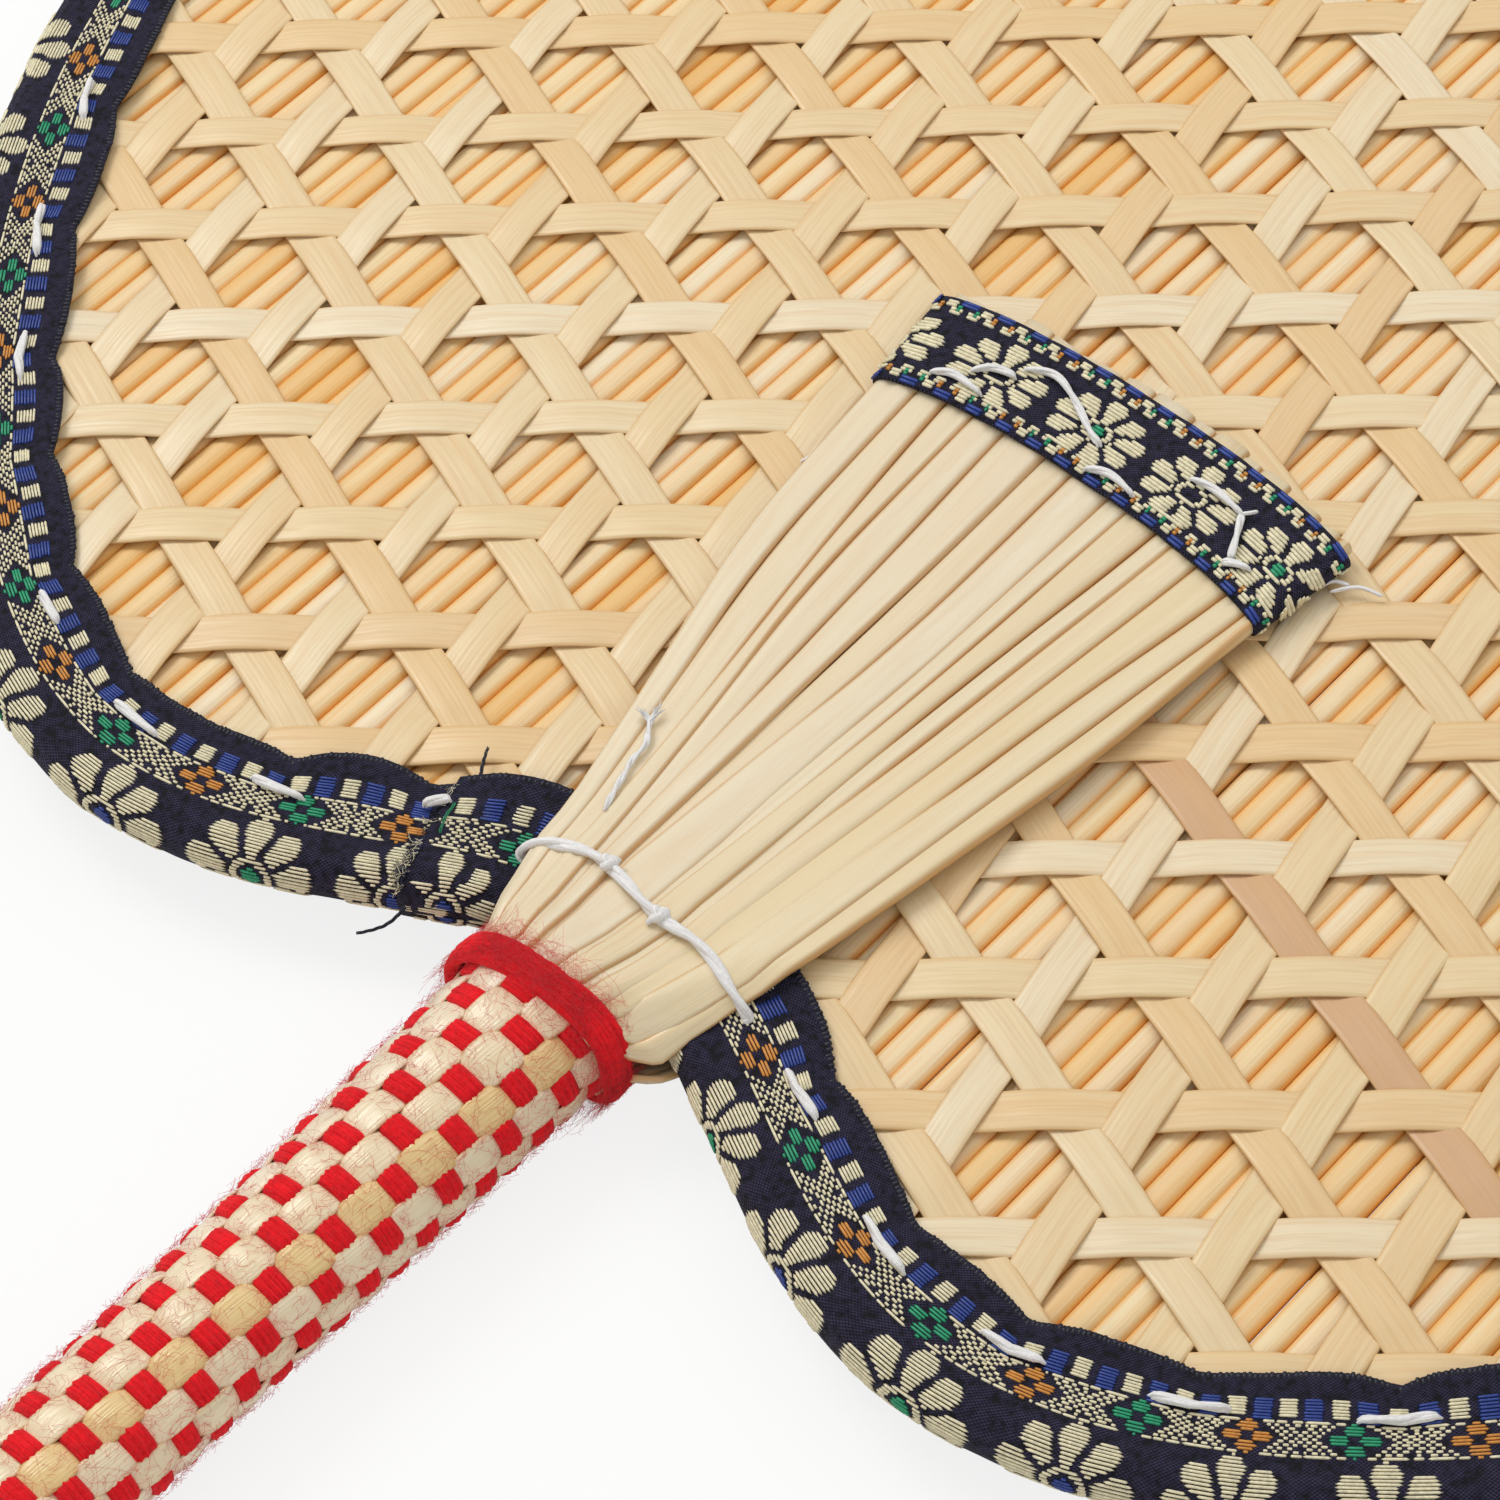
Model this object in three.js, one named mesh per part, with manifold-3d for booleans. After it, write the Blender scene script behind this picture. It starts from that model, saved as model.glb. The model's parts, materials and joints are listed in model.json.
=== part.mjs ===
// Woven straw hand fan, in millimetres.
// The fan lies in the XY plane. +Y runs from the handle's butt to the blade's tip, +Z leaves the
// front face, and the origin is the middle of the flat end of the handle.
// The blade is a mat of straws between two hexagonal nets of bamboo splints, bound by a folded
// ribbon. The handle is a bundle of straws inside a woven grip. Above the upper yarn collar the
// bundle splits into a front and a back spray that clasp the blade, each held by a narrow band.

import * as THREE from 'three';
import { mergeVertices } from 'three/addons/utils/BufferGeometryUtils.js';
import Module from 'manifold-3d';

// Overall places along the handle's axis
const COLLAR_Y = 127;              // middle of the upper yarn collar, above the handle's butt
const GAP = 0.3;                   // space between pieces that press on each other

// Blade outline, the folded edge of the ribbon
const BLADE_WIDTH = 330;
const WIDEST_Y = 118;              // height of the widest place above the collar
const TIP_Y = 285;                 // height of the tip above the collar
const NOTCH_Y = 7;                 // height of the notch between the lobes above the collar
const LOBE_X = 61;                 // distance from the axis to the lowest place of each lobe
const LOBE_DROP = 13.3;            // depth of the lobes below the collar
const NOTCH_REACH = 18;            // how far the notch runs level before it falls
const LOBE_REACH_IN = 26;          // how far the lobe runs level towards the notch
const LOBE_REACH_OUT = 45;         // how far the lobe runs level towards the side
const SIDE_REACH_DOWN = 60;        // how far the side runs straight below its widest place
const SIDE_REACH_UP = 88;          // how far the side runs straight above its widest place
const TIP_REACH = 66;              // how far the shoulder runs out from the tip
const TIP_FALL = 6;                // how much the shoulder has dropped there, which points the tip

// Blade layers
const STRAW_PITCH = 3.3;           // width of one straw in the mat
const MAT_THICKNESS = 2.4;
const MAT_GROOVE = 0.5;            // depth of the groove between two straws
const NET_THICKNESS = 0.8;
const HEX_SPACING = 18.7;          // centre to centre of neighbouring hexagons
const SPLINT_WIDTH = 5.2;
const SPLINT_TRIM = 2;             // how far short of the mat's edge the splints are cut
const FIRST_SPLINT_DEG = 39.5;     // one run of splints, measured from +X; the others turn by 60
const HEX_PHASE_X = -2.9;          // one hexagon centre, from the axis
const HEX_PHASE_Y = 52.7;          // the same centre, above the collar
const HOLE_MARGIN = 11;            // least splint left between a hole and the ribbon's edge

// Folded edge ribbon
const RIBBON_FOLDED_WIDTH = 16.4;
const RIBBON_THICKNESS = 0.6;
const FOLD_DEPTH = 1;              // how far in from the fold the ribbon reaches its full height
const LAP_FROM_NOTCH = 24.5;       // where the upper end of the ribbon stops, along the edge
const LAP_LENGTH = 6;              // how far the two ends lie over each other
const LAP_RAMP = 3;                // length over which the upper end climbs

// Straws above the collar
const SPRAY_STRAWS = 14;           // straws on each face
const STRAW_THICKNESS = 2;         // a flattened straw, away from the collar
const STRAW_BUNCHED = 3.4;         // the same straws heaped up in the collar
const SPRAY_CROWN = 0.5;           // share of the heap that the outermost straws lack
const STRAW_GAP = 0.25;
const NECK_HALF_WIDTH = 9.6;       // half the spray's width inside the collar
const TIE_HALF_WIDTH = 17;         // and at the tie thread
const MIDDLE_Y = 57;               // a place halfway up the spray, above the collar
const MIDDLE_HALF_WIDTH = 24.9;    // half the width there
const BAND_HALF_WIDTH = 28.8;      // and at the band
const STRAW_PEEK = 1;              // how far the straws show past the band

// Bands
const BAND_WIDTH = 14.4;
const BAND_THICKNESS = 0.5;
const BAND_Y = 97.3;               // middle of the band above the collar
const BAND_SPREAD = 1;             // how much wider the spray grows over one width of the band
const BAND_BOW = 1.6;              // how much the band's ends droop
const BAND_TILT_DEG = -3.4;        // the band is sewn on a little askew

// Tie threads
const TIE_RADIUS = 0.75;
const TIE_Y = 14;                  // middle of the tie above the collar
const TIE_BOW = 4.5;               // how much the tie's ends droop
const TIE_TURN = 0.93;             // share of its half width at which the tie turns down
const TIE_TURN_RISE = 0.5;         // how far that turn stands above the outermost straw

// Handle
const GRIP_WIDTH = 21.2;           // just below the upper collar
const GRIP_DEPTH = 16.8;
const WAIST_WIDTH = 19;            // from the waist down
const WAIST_DEPTH = 15;
const WAIST_DROP = 58;             // length over which the grip narrows to its waist
const GRIP_COLUMNS = 14;           // flattened straws round the grip
const GRIP_TURN_DEG = 53;          // how far each of them winds round it on its way down
const GRIP_ROUNDNESS = 2;          // power of a plain oval
const GRIP_ROW_PITCH = 4.3;        // one turn of weft yarn
const FLOAT_RISE = 0.6;            // how far a straw stands out where it crosses over the yarn
const GRIP_WALL = 3;
const FOOT_LIP = 0.5;              // how much of the bundle's foot shows below the lower collar
const CORE_FOOT_WIDTH = 17;
const CORE_FOOT_DEPTH = 13;
const TONGUE_WIDTH = 18.6;         // the bundle's flat end between the sprays
const TONGUE_TOP = 2;              // where it ends, from the collar's middle
const TONGUE_SQUARENESS = 4;       // power of its rounded oval
const CORE_STEP = 0.6;             // height of the slopes where the bundle changes its section

// Yarn collars
const YARN_RADIUS = 0.75;
const YARN_GAP = 0.45;             // space between two turns
const COLLAR_TURNS = 2;
const COLLAR_SQUARENESS = 3.5;     // power of the upper collar's rounded oval
const COLLAR_EASE = 1.5;           // room between the straws and the collar at its narrow ends

// Smoothness
const OUTLINE_STEPS = 84;
const NET_EDGE_STEPS = 60;
const COLLAR_STEPS = 16;
const CORD_SIDES = 5;
const CORE_SIDES = 24;
const TIE_STEPS = 18;
const BAND_STRAIGHT_STEPS = 8;
const BAND_ARC_STEPS = 4;
const EDGE_STEP = 0.001;           // share of the outline over which its direction is taken
const MERGE_DISTANCE = 1e-4;
const HEX_SIDES = 6;

// Sizes that follow
const MAT_HALF = MAT_THICKNESS / 2;
const NET_LOW = MAT_HALF + GAP;
const NET_TOP = NET_LOW + NET_THICKNESS;
const RIBBON_LOW = NET_TOP + GAP;
const RIBBON_TOP = RIBBON_LOW + RIBBON_THICKNESS;
const STRAW_LOW = RIBBON_TOP + GAP;
const LAP_LIFT = RIBBON_THICKNESS + GAP;
const LAYER_INSET = FOLD_DEPTH + RIBBON_THICKNESS + GAP;
const NET_INSET = LAYER_INSET + SPLINT_TRIM;
const ROW_HEIGHT = HEX_SPACING * Math.sqrt(3) / 2;
const HOLE_INRADIUS = (ROW_HEIGHT - SPLINT_WIDTH) / 2;
const YARN_PITCH = 2 * YARN_RADIUS + YARN_GAP;
const COLLAR_HALF_HEIGHT = COLLAR_TURNS * YARN_PITCH / 2 + YARN_RADIUS;
const GRIP_TOP = COLLAR_Y - COLLAR_HALF_HEIGHT - GAP;
const LOWER_COLLAR_Y = FOOT_LIP + COLLAR_HALF_HEIGHT;
const FOOT_TOP = LOWER_COLLAR_Y + COLLAR_HALF_HEIGHT;
const GRIP_BOTTOM = FOOT_TOP + GAP;
const COLLAR_INNER_DEPTH = STRAW_LOW + STRAW_BUNCHED + GAP;

const STRAW = { color: '#e8d6ae', roughness: 0.45 };
const SPLINT = { color: '#ead3a4', roughness: 0.5 };
const MAT_STRAW = { color: '#e8c88e', roughness: 0.6 };
const RIBBON = { color: '#20233a', roughness: 0.8 };
const YARN = { color: '#c4121f', roughness: 0.95 };
const THREAD = { color: '#f2f0ee', roughness: 0.9 };

// Half width of each spray: height above the collar, then distance from the axis
const SPRAY_EDGE = [
  [-COLLAR_HALF_HEIGHT, NECK_HALF_WIDTH],
  [COLLAR_HALF_HEIGHT, NECK_HALF_WIDTH],
  [TIE_Y, TIE_HALF_WIDTH],
  [MIDDLE_Y, MIDDLE_HALF_WIDTH],
  [BAND_Y, BAND_HALF_WIDTH],
  [BAND_Y + BAND_WIDTH, BAND_HALF_WIDTH + BAND_SPREAD],
];

const wasm = await Module();
wasm.setup();

const fan = new THREE.Group();

function addPiece(name, geometry, finish) {
  const mesh = new THREE.Mesh(geometry, new THREE.MeshStandardMaterial(finish));
  mesh.name = name;
  fan.add(mesh);
}

// A value read from a list of [place, value] pairs, straight between them
function alongList(list, place) {
  const last = list.length - 1;
  let i = 1;
  while (i < last && list[i][0] < place) i += 1;
  const [x0, y0] = list[i - 1];
  const [x1, y1] = list[i];
  return y0 + (y1 - y0) * (place - x0) / (x1 - x0);
}

function signedVolume(positions, triangles) {
  const a = new THREE.Vector3();
  const b = new THREE.Vector3();
  const c = new THREE.Vector3();
  let sum = 0;
  for (const [i, j, k] of triangles) {
    a.copy(positions[i]);
    b.copy(positions[j]);
    c.copy(positions[k]);
    sum += a.dot(b.cross(c));
  }
  return sum;
}

function bodyFrom(positions, triangles) {
  const turned = signedVolume(positions, triangles) < 0;
  const index = triangles.flatMap(([i, j, k]) => (turned ? [i, k, j] : [i, j, k]));
  const geometry = new THREE.BufferGeometry();
  const values = positions.flatMap((p) => [p.x, p.y, p.z]);
  geometry.setAttribute('position', new THREE.Float32BufferAttribute(values, 3));
  geometry.setIndex(index);
  return geometry;
}

// Joins rings of equal length into one body. section gives the flat shape of an end cap, and a
// ring of rings that closes on itself has no caps. A cap's corners, sorted by number, turn the same
// way as its ring, so the caps agree with the walls.
function loft(rings, { section = null, closed = false } = {}) {
  const count = rings[0].length;
  const positions = rings.flat();
  const triangles = [];
  const spans = closed ? rings.length : rings.length - 1;
  for (let r = 0; r < spans; r += 1) {
    const next = (r + 1) % rings.length;
    for (let i = 0; i < count; i += 1) {
      const j = (i + 1) % count;
      triangles.push([r * count + i, r * count + j, next * count + j]);
      triangles.push([r * count + i, next * count + j, next * count + i]);
    }
  }
  if (!closed) {
    const flat = section ?? rings[0].map((p) => new THREE.Vector2(p.x, p.z));
    const end = (rings.length - 1) * count;
    for (const corners of THREE.ShapeUtils.triangulateShape(flat, [])) {
      const [i, j, k] = [...corners].sort((a, b) => a - b);
      triangles.push([k, j, i]);
      triangles.push([end + i, end + j, end + k]);
    }
  }
  return bodyFrom(positions, triangles);
}

function tubeAlong(points, radius, steps) {
  const section = new THREE.Shape();
  for (let i = 0; i < CORD_SIDES; i += 1) {
    const angle = (i / CORD_SIDES) * Math.PI * 2;
    const x = radius * Math.cos(angle);
    const y = radius * Math.sin(angle);
    if (i === 0) section.moveTo(x, y);
    else section.lineTo(x, y);
  }
  section.closePath();
  const path = new THREE.CatmullRomCurve3(points);
  const geometry = new THREE.ExtrudeGeometry(section, { steps, bevelEnabled: false, extrudePath: path });
  return bare(geometry);
}

function bare(geometry) {
  geometry.deleteAttribute('normal');
  geometry.deleteAttribute('uv');
  return mergeVertices(geometry, MERGE_DISTANCE);
}

function toManifold(geometry) {
  const merged = bare(geometry);
  const vertProperties = new Float32Array(merged.attributes.position.array);
  const triVerts = new Uint32Array(merged.index.array);
  return new wasm.Manifold(new wasm.Mesh({ numProp: 3, vertProperties, triVerts }));
}

function fromManifold(solid) {
  const { vertProperties, triVerts } = solid.getMesh();
  const geometry = new THREE.BufferGeometry();
  geometry.setAttribute('position', new THREE.Float32BufferAttribute(vertProperties, 3));
  geometry.setIndex(new THREE.Uint32BufferAttribute(triVerts, 1));
  return geometry;
}

// The outline runs anticlockwise from the notch, over the right lobe, side and tip, and back
function bladeOutline() {
  const half = BLADE_WIDTH / 2;
  const notch = [0, NOTCH_Y];
  const lobe = [LOBE_X, -LOBE_DROP];
  const side = [half, WIDEST_Y];
  const tip = [0, TIP_Y];
  const stretches = [
    [notch, [NOTCH_REACH, NOTCH_Y], [LOBE_X - LOBE_REACH_IN, -LOBE_DROP], lobe],
    [lobe, [LOBE_X + LOBE_REACH_OUT, -LOBE_DROP], [half, WIDEST_Y - SIDE_REACH_DOWN], side],
    [side, [half, WIDEST_Y + SIDE_REACH_UP], [TIP_REACH, TIP_Y - TIP_FALL], tip],
  ];
  const mirrored = stretches.map((points) => points.map(([x, y]) => [-x, y]).reverse()).reverse();
  const path = new THREE.CurvePath();
  for (const points of [...stretches, ...mirrored]) {
    const [a, b, c, d] = points.map(([x, y]) => new THREE.Vector2(x, y + COLLAR_Y));
    path.add(new THREE.CubicBezierCurve(a, b, c, d));
  }
  return path;
}

const outline = bladeOutline();
const outlineLength = outline.getLength();

// A place on the blade: distance along the edge from the notch, and distance in from the edge
function bladePoint(distance, inset) {
  const turn = distance / outlineLength;
  const u = turn - Math.floor(turn);
  const point = outline.getPoint(u);
  const before = outline.getPoint((u - EDGE_STEP + 1) % 1);
  const after = outline.getPoint((u + EDGE_STEP) % 1);
  const along = after.sub(before).normalize();
  return new THREE.Vector2(point.x - along.y * inset, point.y + along.x * inset);
}

function insetOutline(inset, steps) {
  const points = [];
  for (let i = 0; i < steps; i += 1) points.push(bladePoint(outlineLength * i / steps, inset));
  return points;
}

// Mat of straws laid side by side along the handle's axis, cut to the blade's outline
function strawMat() {
  const reach = BLADE_WIDTH / 2 + STRAW_PITCH;
  const half = Math.ceil(reach / STRAW_PITCH);
  const valley = MAT_HALF - MAT_GROOVE;
  const profile = new THREE.Shape();
  profile.moveTo(-half * STRAW_PITCH, valley);
  for (let i = -half; i < half; i += 1) {
    profile.lineTo((i + 0.5) * STRAW_PITCH, MAT_HALF);
    profile.lineTo((i + 1) * STRAW_PITCH, valley);
  }
  for (let i = half; i > -half; i -= 1) {
    profile.lineTo(i * STRAW_PITCH, -valley);
    profile.lineTo((i - 0.5) * STRAW_PITCH, -MAT_HALF);
  }
  profile.lineTo(-half * STRAW_PITCH, -valley);
  profile.closePath();
  const low = COLLAR_Y - LOBE_DROP;
  const high = COLLAR_Y + TIP_Y;
  const sheet = new THREE.ExtrudeGeometry(profile, { depth: high - low, bevelEnabled: false });
  sheet.rotateX(Math.PI / 2);
  sheet.translate(0, high, 0);
  const edge = new THREE.Shape(insetOutline(LAYER_INSET, OUTLINE_STEPS));
  const cutter = new THREE.ExtrudeGeometry(edge, { depth: MAT_THICKNESS * 2, bevelEnabled: false });
  cutter.translate(0, 0, -MAT_THICKNESS);
  return fromManifold(toManifold(sheet).intersect(toManifold(cutter)));
}

function insidePolygon(point, polygon) {
  let inside = false;
  for (let i = 0, j = polygon.length - 1; i < polygon.length; j = i, i += 1) {
    const a = polygon[i];
    const b = polygon[j];
    const crosses = (a.y > point.y) !== (b.y > point.y);
    if (crosses && point.x < (b.x - a.x) * (point.y - a.y) / (b.y - a.y) + a.x) inside = !inside;
  }
  return inside;
}

function hexagonAt(centre, inradius) {
  const corners = [];
  const radius = inradius / Math.cos(Math.PI / HEX_SIDES);
  const first = THREE.MathUtils.degToRad(FIRST_SPLINT_DEG);
  for (let i = 0; i < HEX_SIDES; i += 1) {
    const angle = first + 2 * Math.PI * i / HEX_SIDES;
    const corner = new THREE.Vector2(radius * Math.cos(angle), radius * Math.sin(angle));
    corners.push(corner.add(centre));
  }
  return corners;
}

// True where a spray and its band cover the net, which is left plain there
function underSpray(point) {
  const above = point.y - COLLAR_Y;
  if (above > BAND_Y + BAND_WIDTH / 2) return false;
  return Math.abs(point.x) < alongList(SPRAY_EDGE, above) - HOLE_INRADIUS;
}

// Centres of the hexagons that show whole, inside the ribbon's inner edge and beside the spray
function holeCentres() {
  const window = insetOutline(RIBBON_FOLDED_WIDTH, OUTLINE_STEPS);
  const first = THREE.MathUtils.degToRad(FIRST_SPLINT_DEG);
  const second = first + Math.PI / 3;
  const count = Math.ceil((BLADE_WIDTH + TIP_Y) / HEX_SPACING);
  const centres = [];
  for (let i = -count; i <= count; i += 1) {
    for (let j = -count; j <= count; j += 1) {
      const x = HEX_PHASE_X + HEX_SPACING * (i * Math.cos(first) + j * Math.cos(second));
      const y = COLLAR_Y + HEX_PHASE_Y + HEX_SPACING * (i * Math.sin(first) + j * Math.sin(second));
      const centre = new THREE.Vector2(x, y);
      const guarded = hexagonAt(centre, HOLE_INRADIUS + HOLE_MARGIN);
      const shows = guarded.every((corner) => insidePolygon(corner, window));
      if (shows && !underSpray(centre)) centres.push(centre);
    }
  }
  return centres;
}

// Hexagonal net of splints in three directions, their crossings pressed flat. face is 1 or -1.
function splintNet(face) {
  const shape = new THREE.Shape(insetOutline(NET_INSET, NET_EDGE_STEPS));
  const centres = holeCentres();
  for (const centre of centres) shape.holes.push(new THREE.Path(hexagonAt(centre, HOLE_INRADIUS)));
  console.log(`net on face ${face}: ${centres.length} hexagons`);
  const geometry = new THREE.ExtrudeGeometry(shape, { depth: NET_THICKNESS, bevelEnabled: false });
  geometry.translate(0, 0, face > 0 ? NET_LOW : -NET_TOP);
  return bare(geometry);
}

// Ribbon folded over the edge. It starts with its upper end, runs round the blade and ends
// beneath that start.
function edgeRibbon() {
  const section = (lift) => [
    [RIBBON_FOLDED_WIDTH, RIBBON_TOP + lift],
    [FOLD_DEPTH - lift, RIBBON_TOP + lift],
    [-lift, 0],
    [FOLD_DEPTH - lift, -RIBBON_TOP - lift],
    [RIBBON_FOLDED_WIDTH, -RIBBON_TOP - lift],
    [RIBBON_FOLDED_WIDTH, -RIBBON_LOW - lift],
    [FOLD_DEPTH + RIBBON_THICKNESS / 2 - lift, -RIBBON_LOW - lift],
    [RIBBON_THICKNESS - lift, 0],
    [FOLD_DEPTH + RIBBON_THICKNESS / 2 - lift, RIBBON_LOW + lift],
    [RIBBON_FOLDED_WIDTH, RIBBON_LOW + lift],
  ];
  const lapEnd = -LAP_FROM_NOTCH + LAP_LENGTH;
  const flatStart = lapEnd + LAP_RAMP;
  const finish = outlineLength + lapEnd - GAP;
  const stations = [
    [-LAP_FROM_NOTCH, LAP_LIFT],
    [-LAP_FROM_NOTCH + LAP_LENGTH / 2, LAP_LIFT],
    [lapEnd, LAP_LIFT],
  ];
  for (let i = 0; i <= OUTLINE_STEPS; i += 1) {
    stations.push([flatStart + (finish - flatStart) * i / OUTLINE_STEPS, 0]);
  }
  const rings = stations.map(([distance, lift]) => section(lift).map(([inset, z]) => {
    const place = bladePoint(distance, inset);
    return new THREE.Vector3(place.x, place.y, z);
  }));
  return loft(rings, { section: section(0).map(([x, z]) => new THREE.Vector2(x, z)) });
}

// Height of the band's middle line above the collar, at a distance x from the axis
function bandRise(x) {
  const half = alongList(SPRAY_EDGE, BAND_Y);
  return BAND_Y + x * Math.tan(THREE.MathUtils.degToRad(BAND_TILT_DEG)) - BAND_BOW * (x / half) ** 2;
}

// One flattened straw of a spray, numbered from the left. face is 1 or -1.
function sprayStraw(number, face) {
  const left = (2 * number) / SPRAY_STRAWS - 1;
  const right = (2 * (number + 1)) / SPRAY_STRAWS - 1;
  const middle = (left + right) / 2;
  const end = bandRise(middle * alongList(SPRAY_EDGE, BAND_Y)) + BAND_WIDTH / 2 + STRAW_PEEK;
  const places = [...SPRAY_EDGE.map(([y]) => y).slice(0, -1), end];
  const heap = STRAW_BUNCHED * (1 - SPRAY_CROWN * middle ** 2);
  const thickness = [
    [0, heap],
    [COLLAR_HALF_HEIGHT, heap],
    [TIE_Y, (heap + STRAW_THICKNESS) / 2],
    [MIDDLE_Y, STRAW_THICKNESS],
    [BAND_Y, STRAW_THICKNESS],
  ];
  const rings = places.map((y) => {
    const half = alongList(SPRAY_EDGE, y);
    const x0 = left * half + STRAW_GAP / 2;
    const x1 = right * half - STRAW_GAP / 2;
    const bevel = (x1 - x0) / 4;
    const top = STRAW_LOW + alongList(thickness, Math.max(y, 0));
    const waist = (STRAW_LOW + top) / 2;
    const ring = [
      [x0, waist],
      [x0 + bevel, STRAW_LOW],
      [x1 - bevel, STRAW_LOW],
      [x1, waist],
      [x1 - bevel, top],
      [x0 + bevel, top],
    ];
    return ring.map(([x, z]) => new THREE.Vector3(x, COLLAR_Y + y, face * z));
  });
  return loft(rings);
}

// Narrow band wrapped round the end of a spray, a flattened loop with rounded ends
function sprayBand(face) {
  const innerHalf = alongList(SPRAY_EDGE, BAND_Y + BAND_WIDTH) + GAP;
  const radius = STRAW_THICKNESS / 2 + GAP;
  const middle = STRAW_LOW + STRAW_THICKNESS / 2;
  const straight = innerHalf - radius;
  const stations = [];
  for (const side of [1, -1]) {
    for (let i = 0; i < BAND_STRAIGHT_STEPS; i += 1) {
      stations.push([side * (2 * i / BAND_STRAIGHT_STEPS - 1) * straight, 0, side]);
    }
    for (let i = 0; i < BAND_ARC_STEPS; i += 1) {
      const angle = Math.PI * i / BAND_ARC_STEPS;
      stations.push([side * straight, side * Math.sin(angle), side * Math.cos(angle)]);
    }
  }
  const rings = stations.map(([x, nx, nz]) => {
    const corners = [[radius, -1], [radius, 1], [radius + BAND_THICKNESS, 1], [radius + BAND_THICKNESS, -1]];
    return corners.map(([out, end]) => {
      const px = x + nx * out;
      const y = COLLAR_Y + bandRise(px) + end * BAND_WIDTH / 2;
      return new THREE.Vector3(px, y, face * (middle + nz * out));
    });
  });
  return loft(rings, { closed: true });
}

// Thread laid across a spray close to the collar, its ends going into the blade at both sides
function tieThread(face) {
  const half = alongList(SPRAY_EDGE, TIE_Y) + GAP + TIE_RADIUS;
  const crest = STRAW_LOW + STRAW_BUNCHED + GAP + TIE_RADIUS;
  const shoulder = STRAW_LOW + STRAW_THICKNESS + GAP + TIE_RADIUS;
  const leftHalf = [
    [-1, STRAW_LOW],
    [-1, (STRAW_LOW + shoulder) / 2],
    [-TIE_TURN, shoulder + TIE_TURN_RISE],
    [-1 / 2, (shoulder + 3 * crest) / 4],
  ];
  const rightHalf = leftHalf.map(([share, z]) => [-share, z]).reverse();
  const points = [...leftHalf, [0, crest], ...rightHalf].map(([share, z]) => {
    const y = COLLAR_Y + TIE_Y - TIE_BOW * share ** 2;
    return new THREE.Vector3(share * half, y, face * z);
  });
  return tubeAlong(points, TIE_RADIUS, TIE_STEPS);
}

function ovalPoint(angle, halfWidth, halfDepth, power) {
  const c = Math.cos(angle);
  const s = Math.sin(angle);
  const x = halfWidth * Math.sign(c) * Math.abs(c) ** (2 / power);
  const z = halfDepth * Math.sign(s) * Math.abs(s) ** (2 / power);
  return [x, z];
}

// Turns of yarn laid side by side round an oval, as one unbroken tube
function yarnCollar(middleY, innerWidth, innerDepth, power) {
  const halfWidth = innerWidth + YARN_RADIUS;
  const halfDepth = innerDepth + YARN_RADIUS;
  const points = [];
  const steps = COLLAR_TURNS * COLLAR_STEPS;
  for (let i = 0; i <= steps; i += 1) {
    const turn = i / COLLAR_STEPS;
    const [x, z] = ovalPoint(turn * Math.PI * 2 - Math.PI / 2, halfWidth, halfDepth, power);
    points.push(new THREE.Vector3(x, middleY + (turn - COLLAR_TURNS / 2) * YARN_PITCH, z));
  }
  printLeastGap(middleY, points);
  return tubeAlong(points, YARN_RADIUS, steps);
}

// Least space between two turns of a collar, measured on its points
function printLeastGap(middleY, points) {
  let least = Infinity;
  for (let i = 0; i < points.length; i += 1) {
    for (let j = i + COLLAR_STEPS / 2; j < points.length; j += 1) {
      least = Math.min(least, points[i].distanceTo(points[j]) - 2 * YARN_RADIUS);
    }
  }
  console.log(`yarn collar at ${middleY} mm: least gap between turns ${least.toFixed(2)} mm`);
}

function ovalRing(y, halfWidth, halfDepth, power, sides, turn = 0) {
  const ring = [];
  for (let i = 0; i < sides; i += 1) {
    const [x, z] = ovalPoint((i / sides) * Math.PI * 2 + turn, halfWidth, halfDepth, power);
    ring.push(new THREE.Vector3(x, y, z));
  }
  return ring;
}

// The bundle of straws inside the grip: a bare foot, a shaft, and a flat tongue between the sprays
function handleCore() {
  const shaftHalfWidth = WAIST_WIDTH / 2 - GRIP_WALL - GAP;
  const shaftHalfDepth = WAIST_DEPTH / 2 - GRIP_WALL - GAP;
  const tongueTop = COLLAR_Y + TONGUE_TOP;
  const tongueBottom = GRIP_TOP + GAP;
  const stations = [
    [0, CORE_FOOT_WIDTH / 2, CORE_FOOT_DEPTH / 2, GRIP_ROUNDNESS],
    [FOOT_TOP, CORE_FOOT_WIDTH / 2, CORE_FOOT_DEPTH / 2, GRIP_ROUNDNESS],
    [FOOT_TOP + GAP / 2, shaftHalfWidth, shaftHalfDepth, GRIP_ROUNDNESS],
    [tongueBottom - CORE_STEP, shaftHalfWidth, shaftHalfDepth, GRIP_ROUNDNESS],
    [tongueBottom, shaftHalfWidth, RIBBON_TOP, TONGUE_SQUARENESS],
    [tongueBottom + CORE_STEP, TONGUE_WIDTH / 2, RIBBON_TOP, TONGUE_SQUARENESS],
    [tongueTop, TONGUE_WIDTH / 2, RIBBON_TOP, TONGUE_SQUARENESS],
  ];
  return loft(stations.map(([y, width, depth, power]) => ovalRing(y, width, depth, power, CORE_SIDES)));
}

// Half width and half depth of the grip at a height
function gripHalf(y) {
  const share = THREE.MathUtils.smoothstep(GRIP_TOP - y, 0, WAIST_DROP);
  const width = THREE.MathUtils.lerp(GRIP_WIDTH, WAIST_WIDTH, share);
  const depth = THREE.MathUtils.lerp(GRIP_DEPTH, WAIST_DEPTH, share);
  return [width / 2, depth / 2];
}

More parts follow.
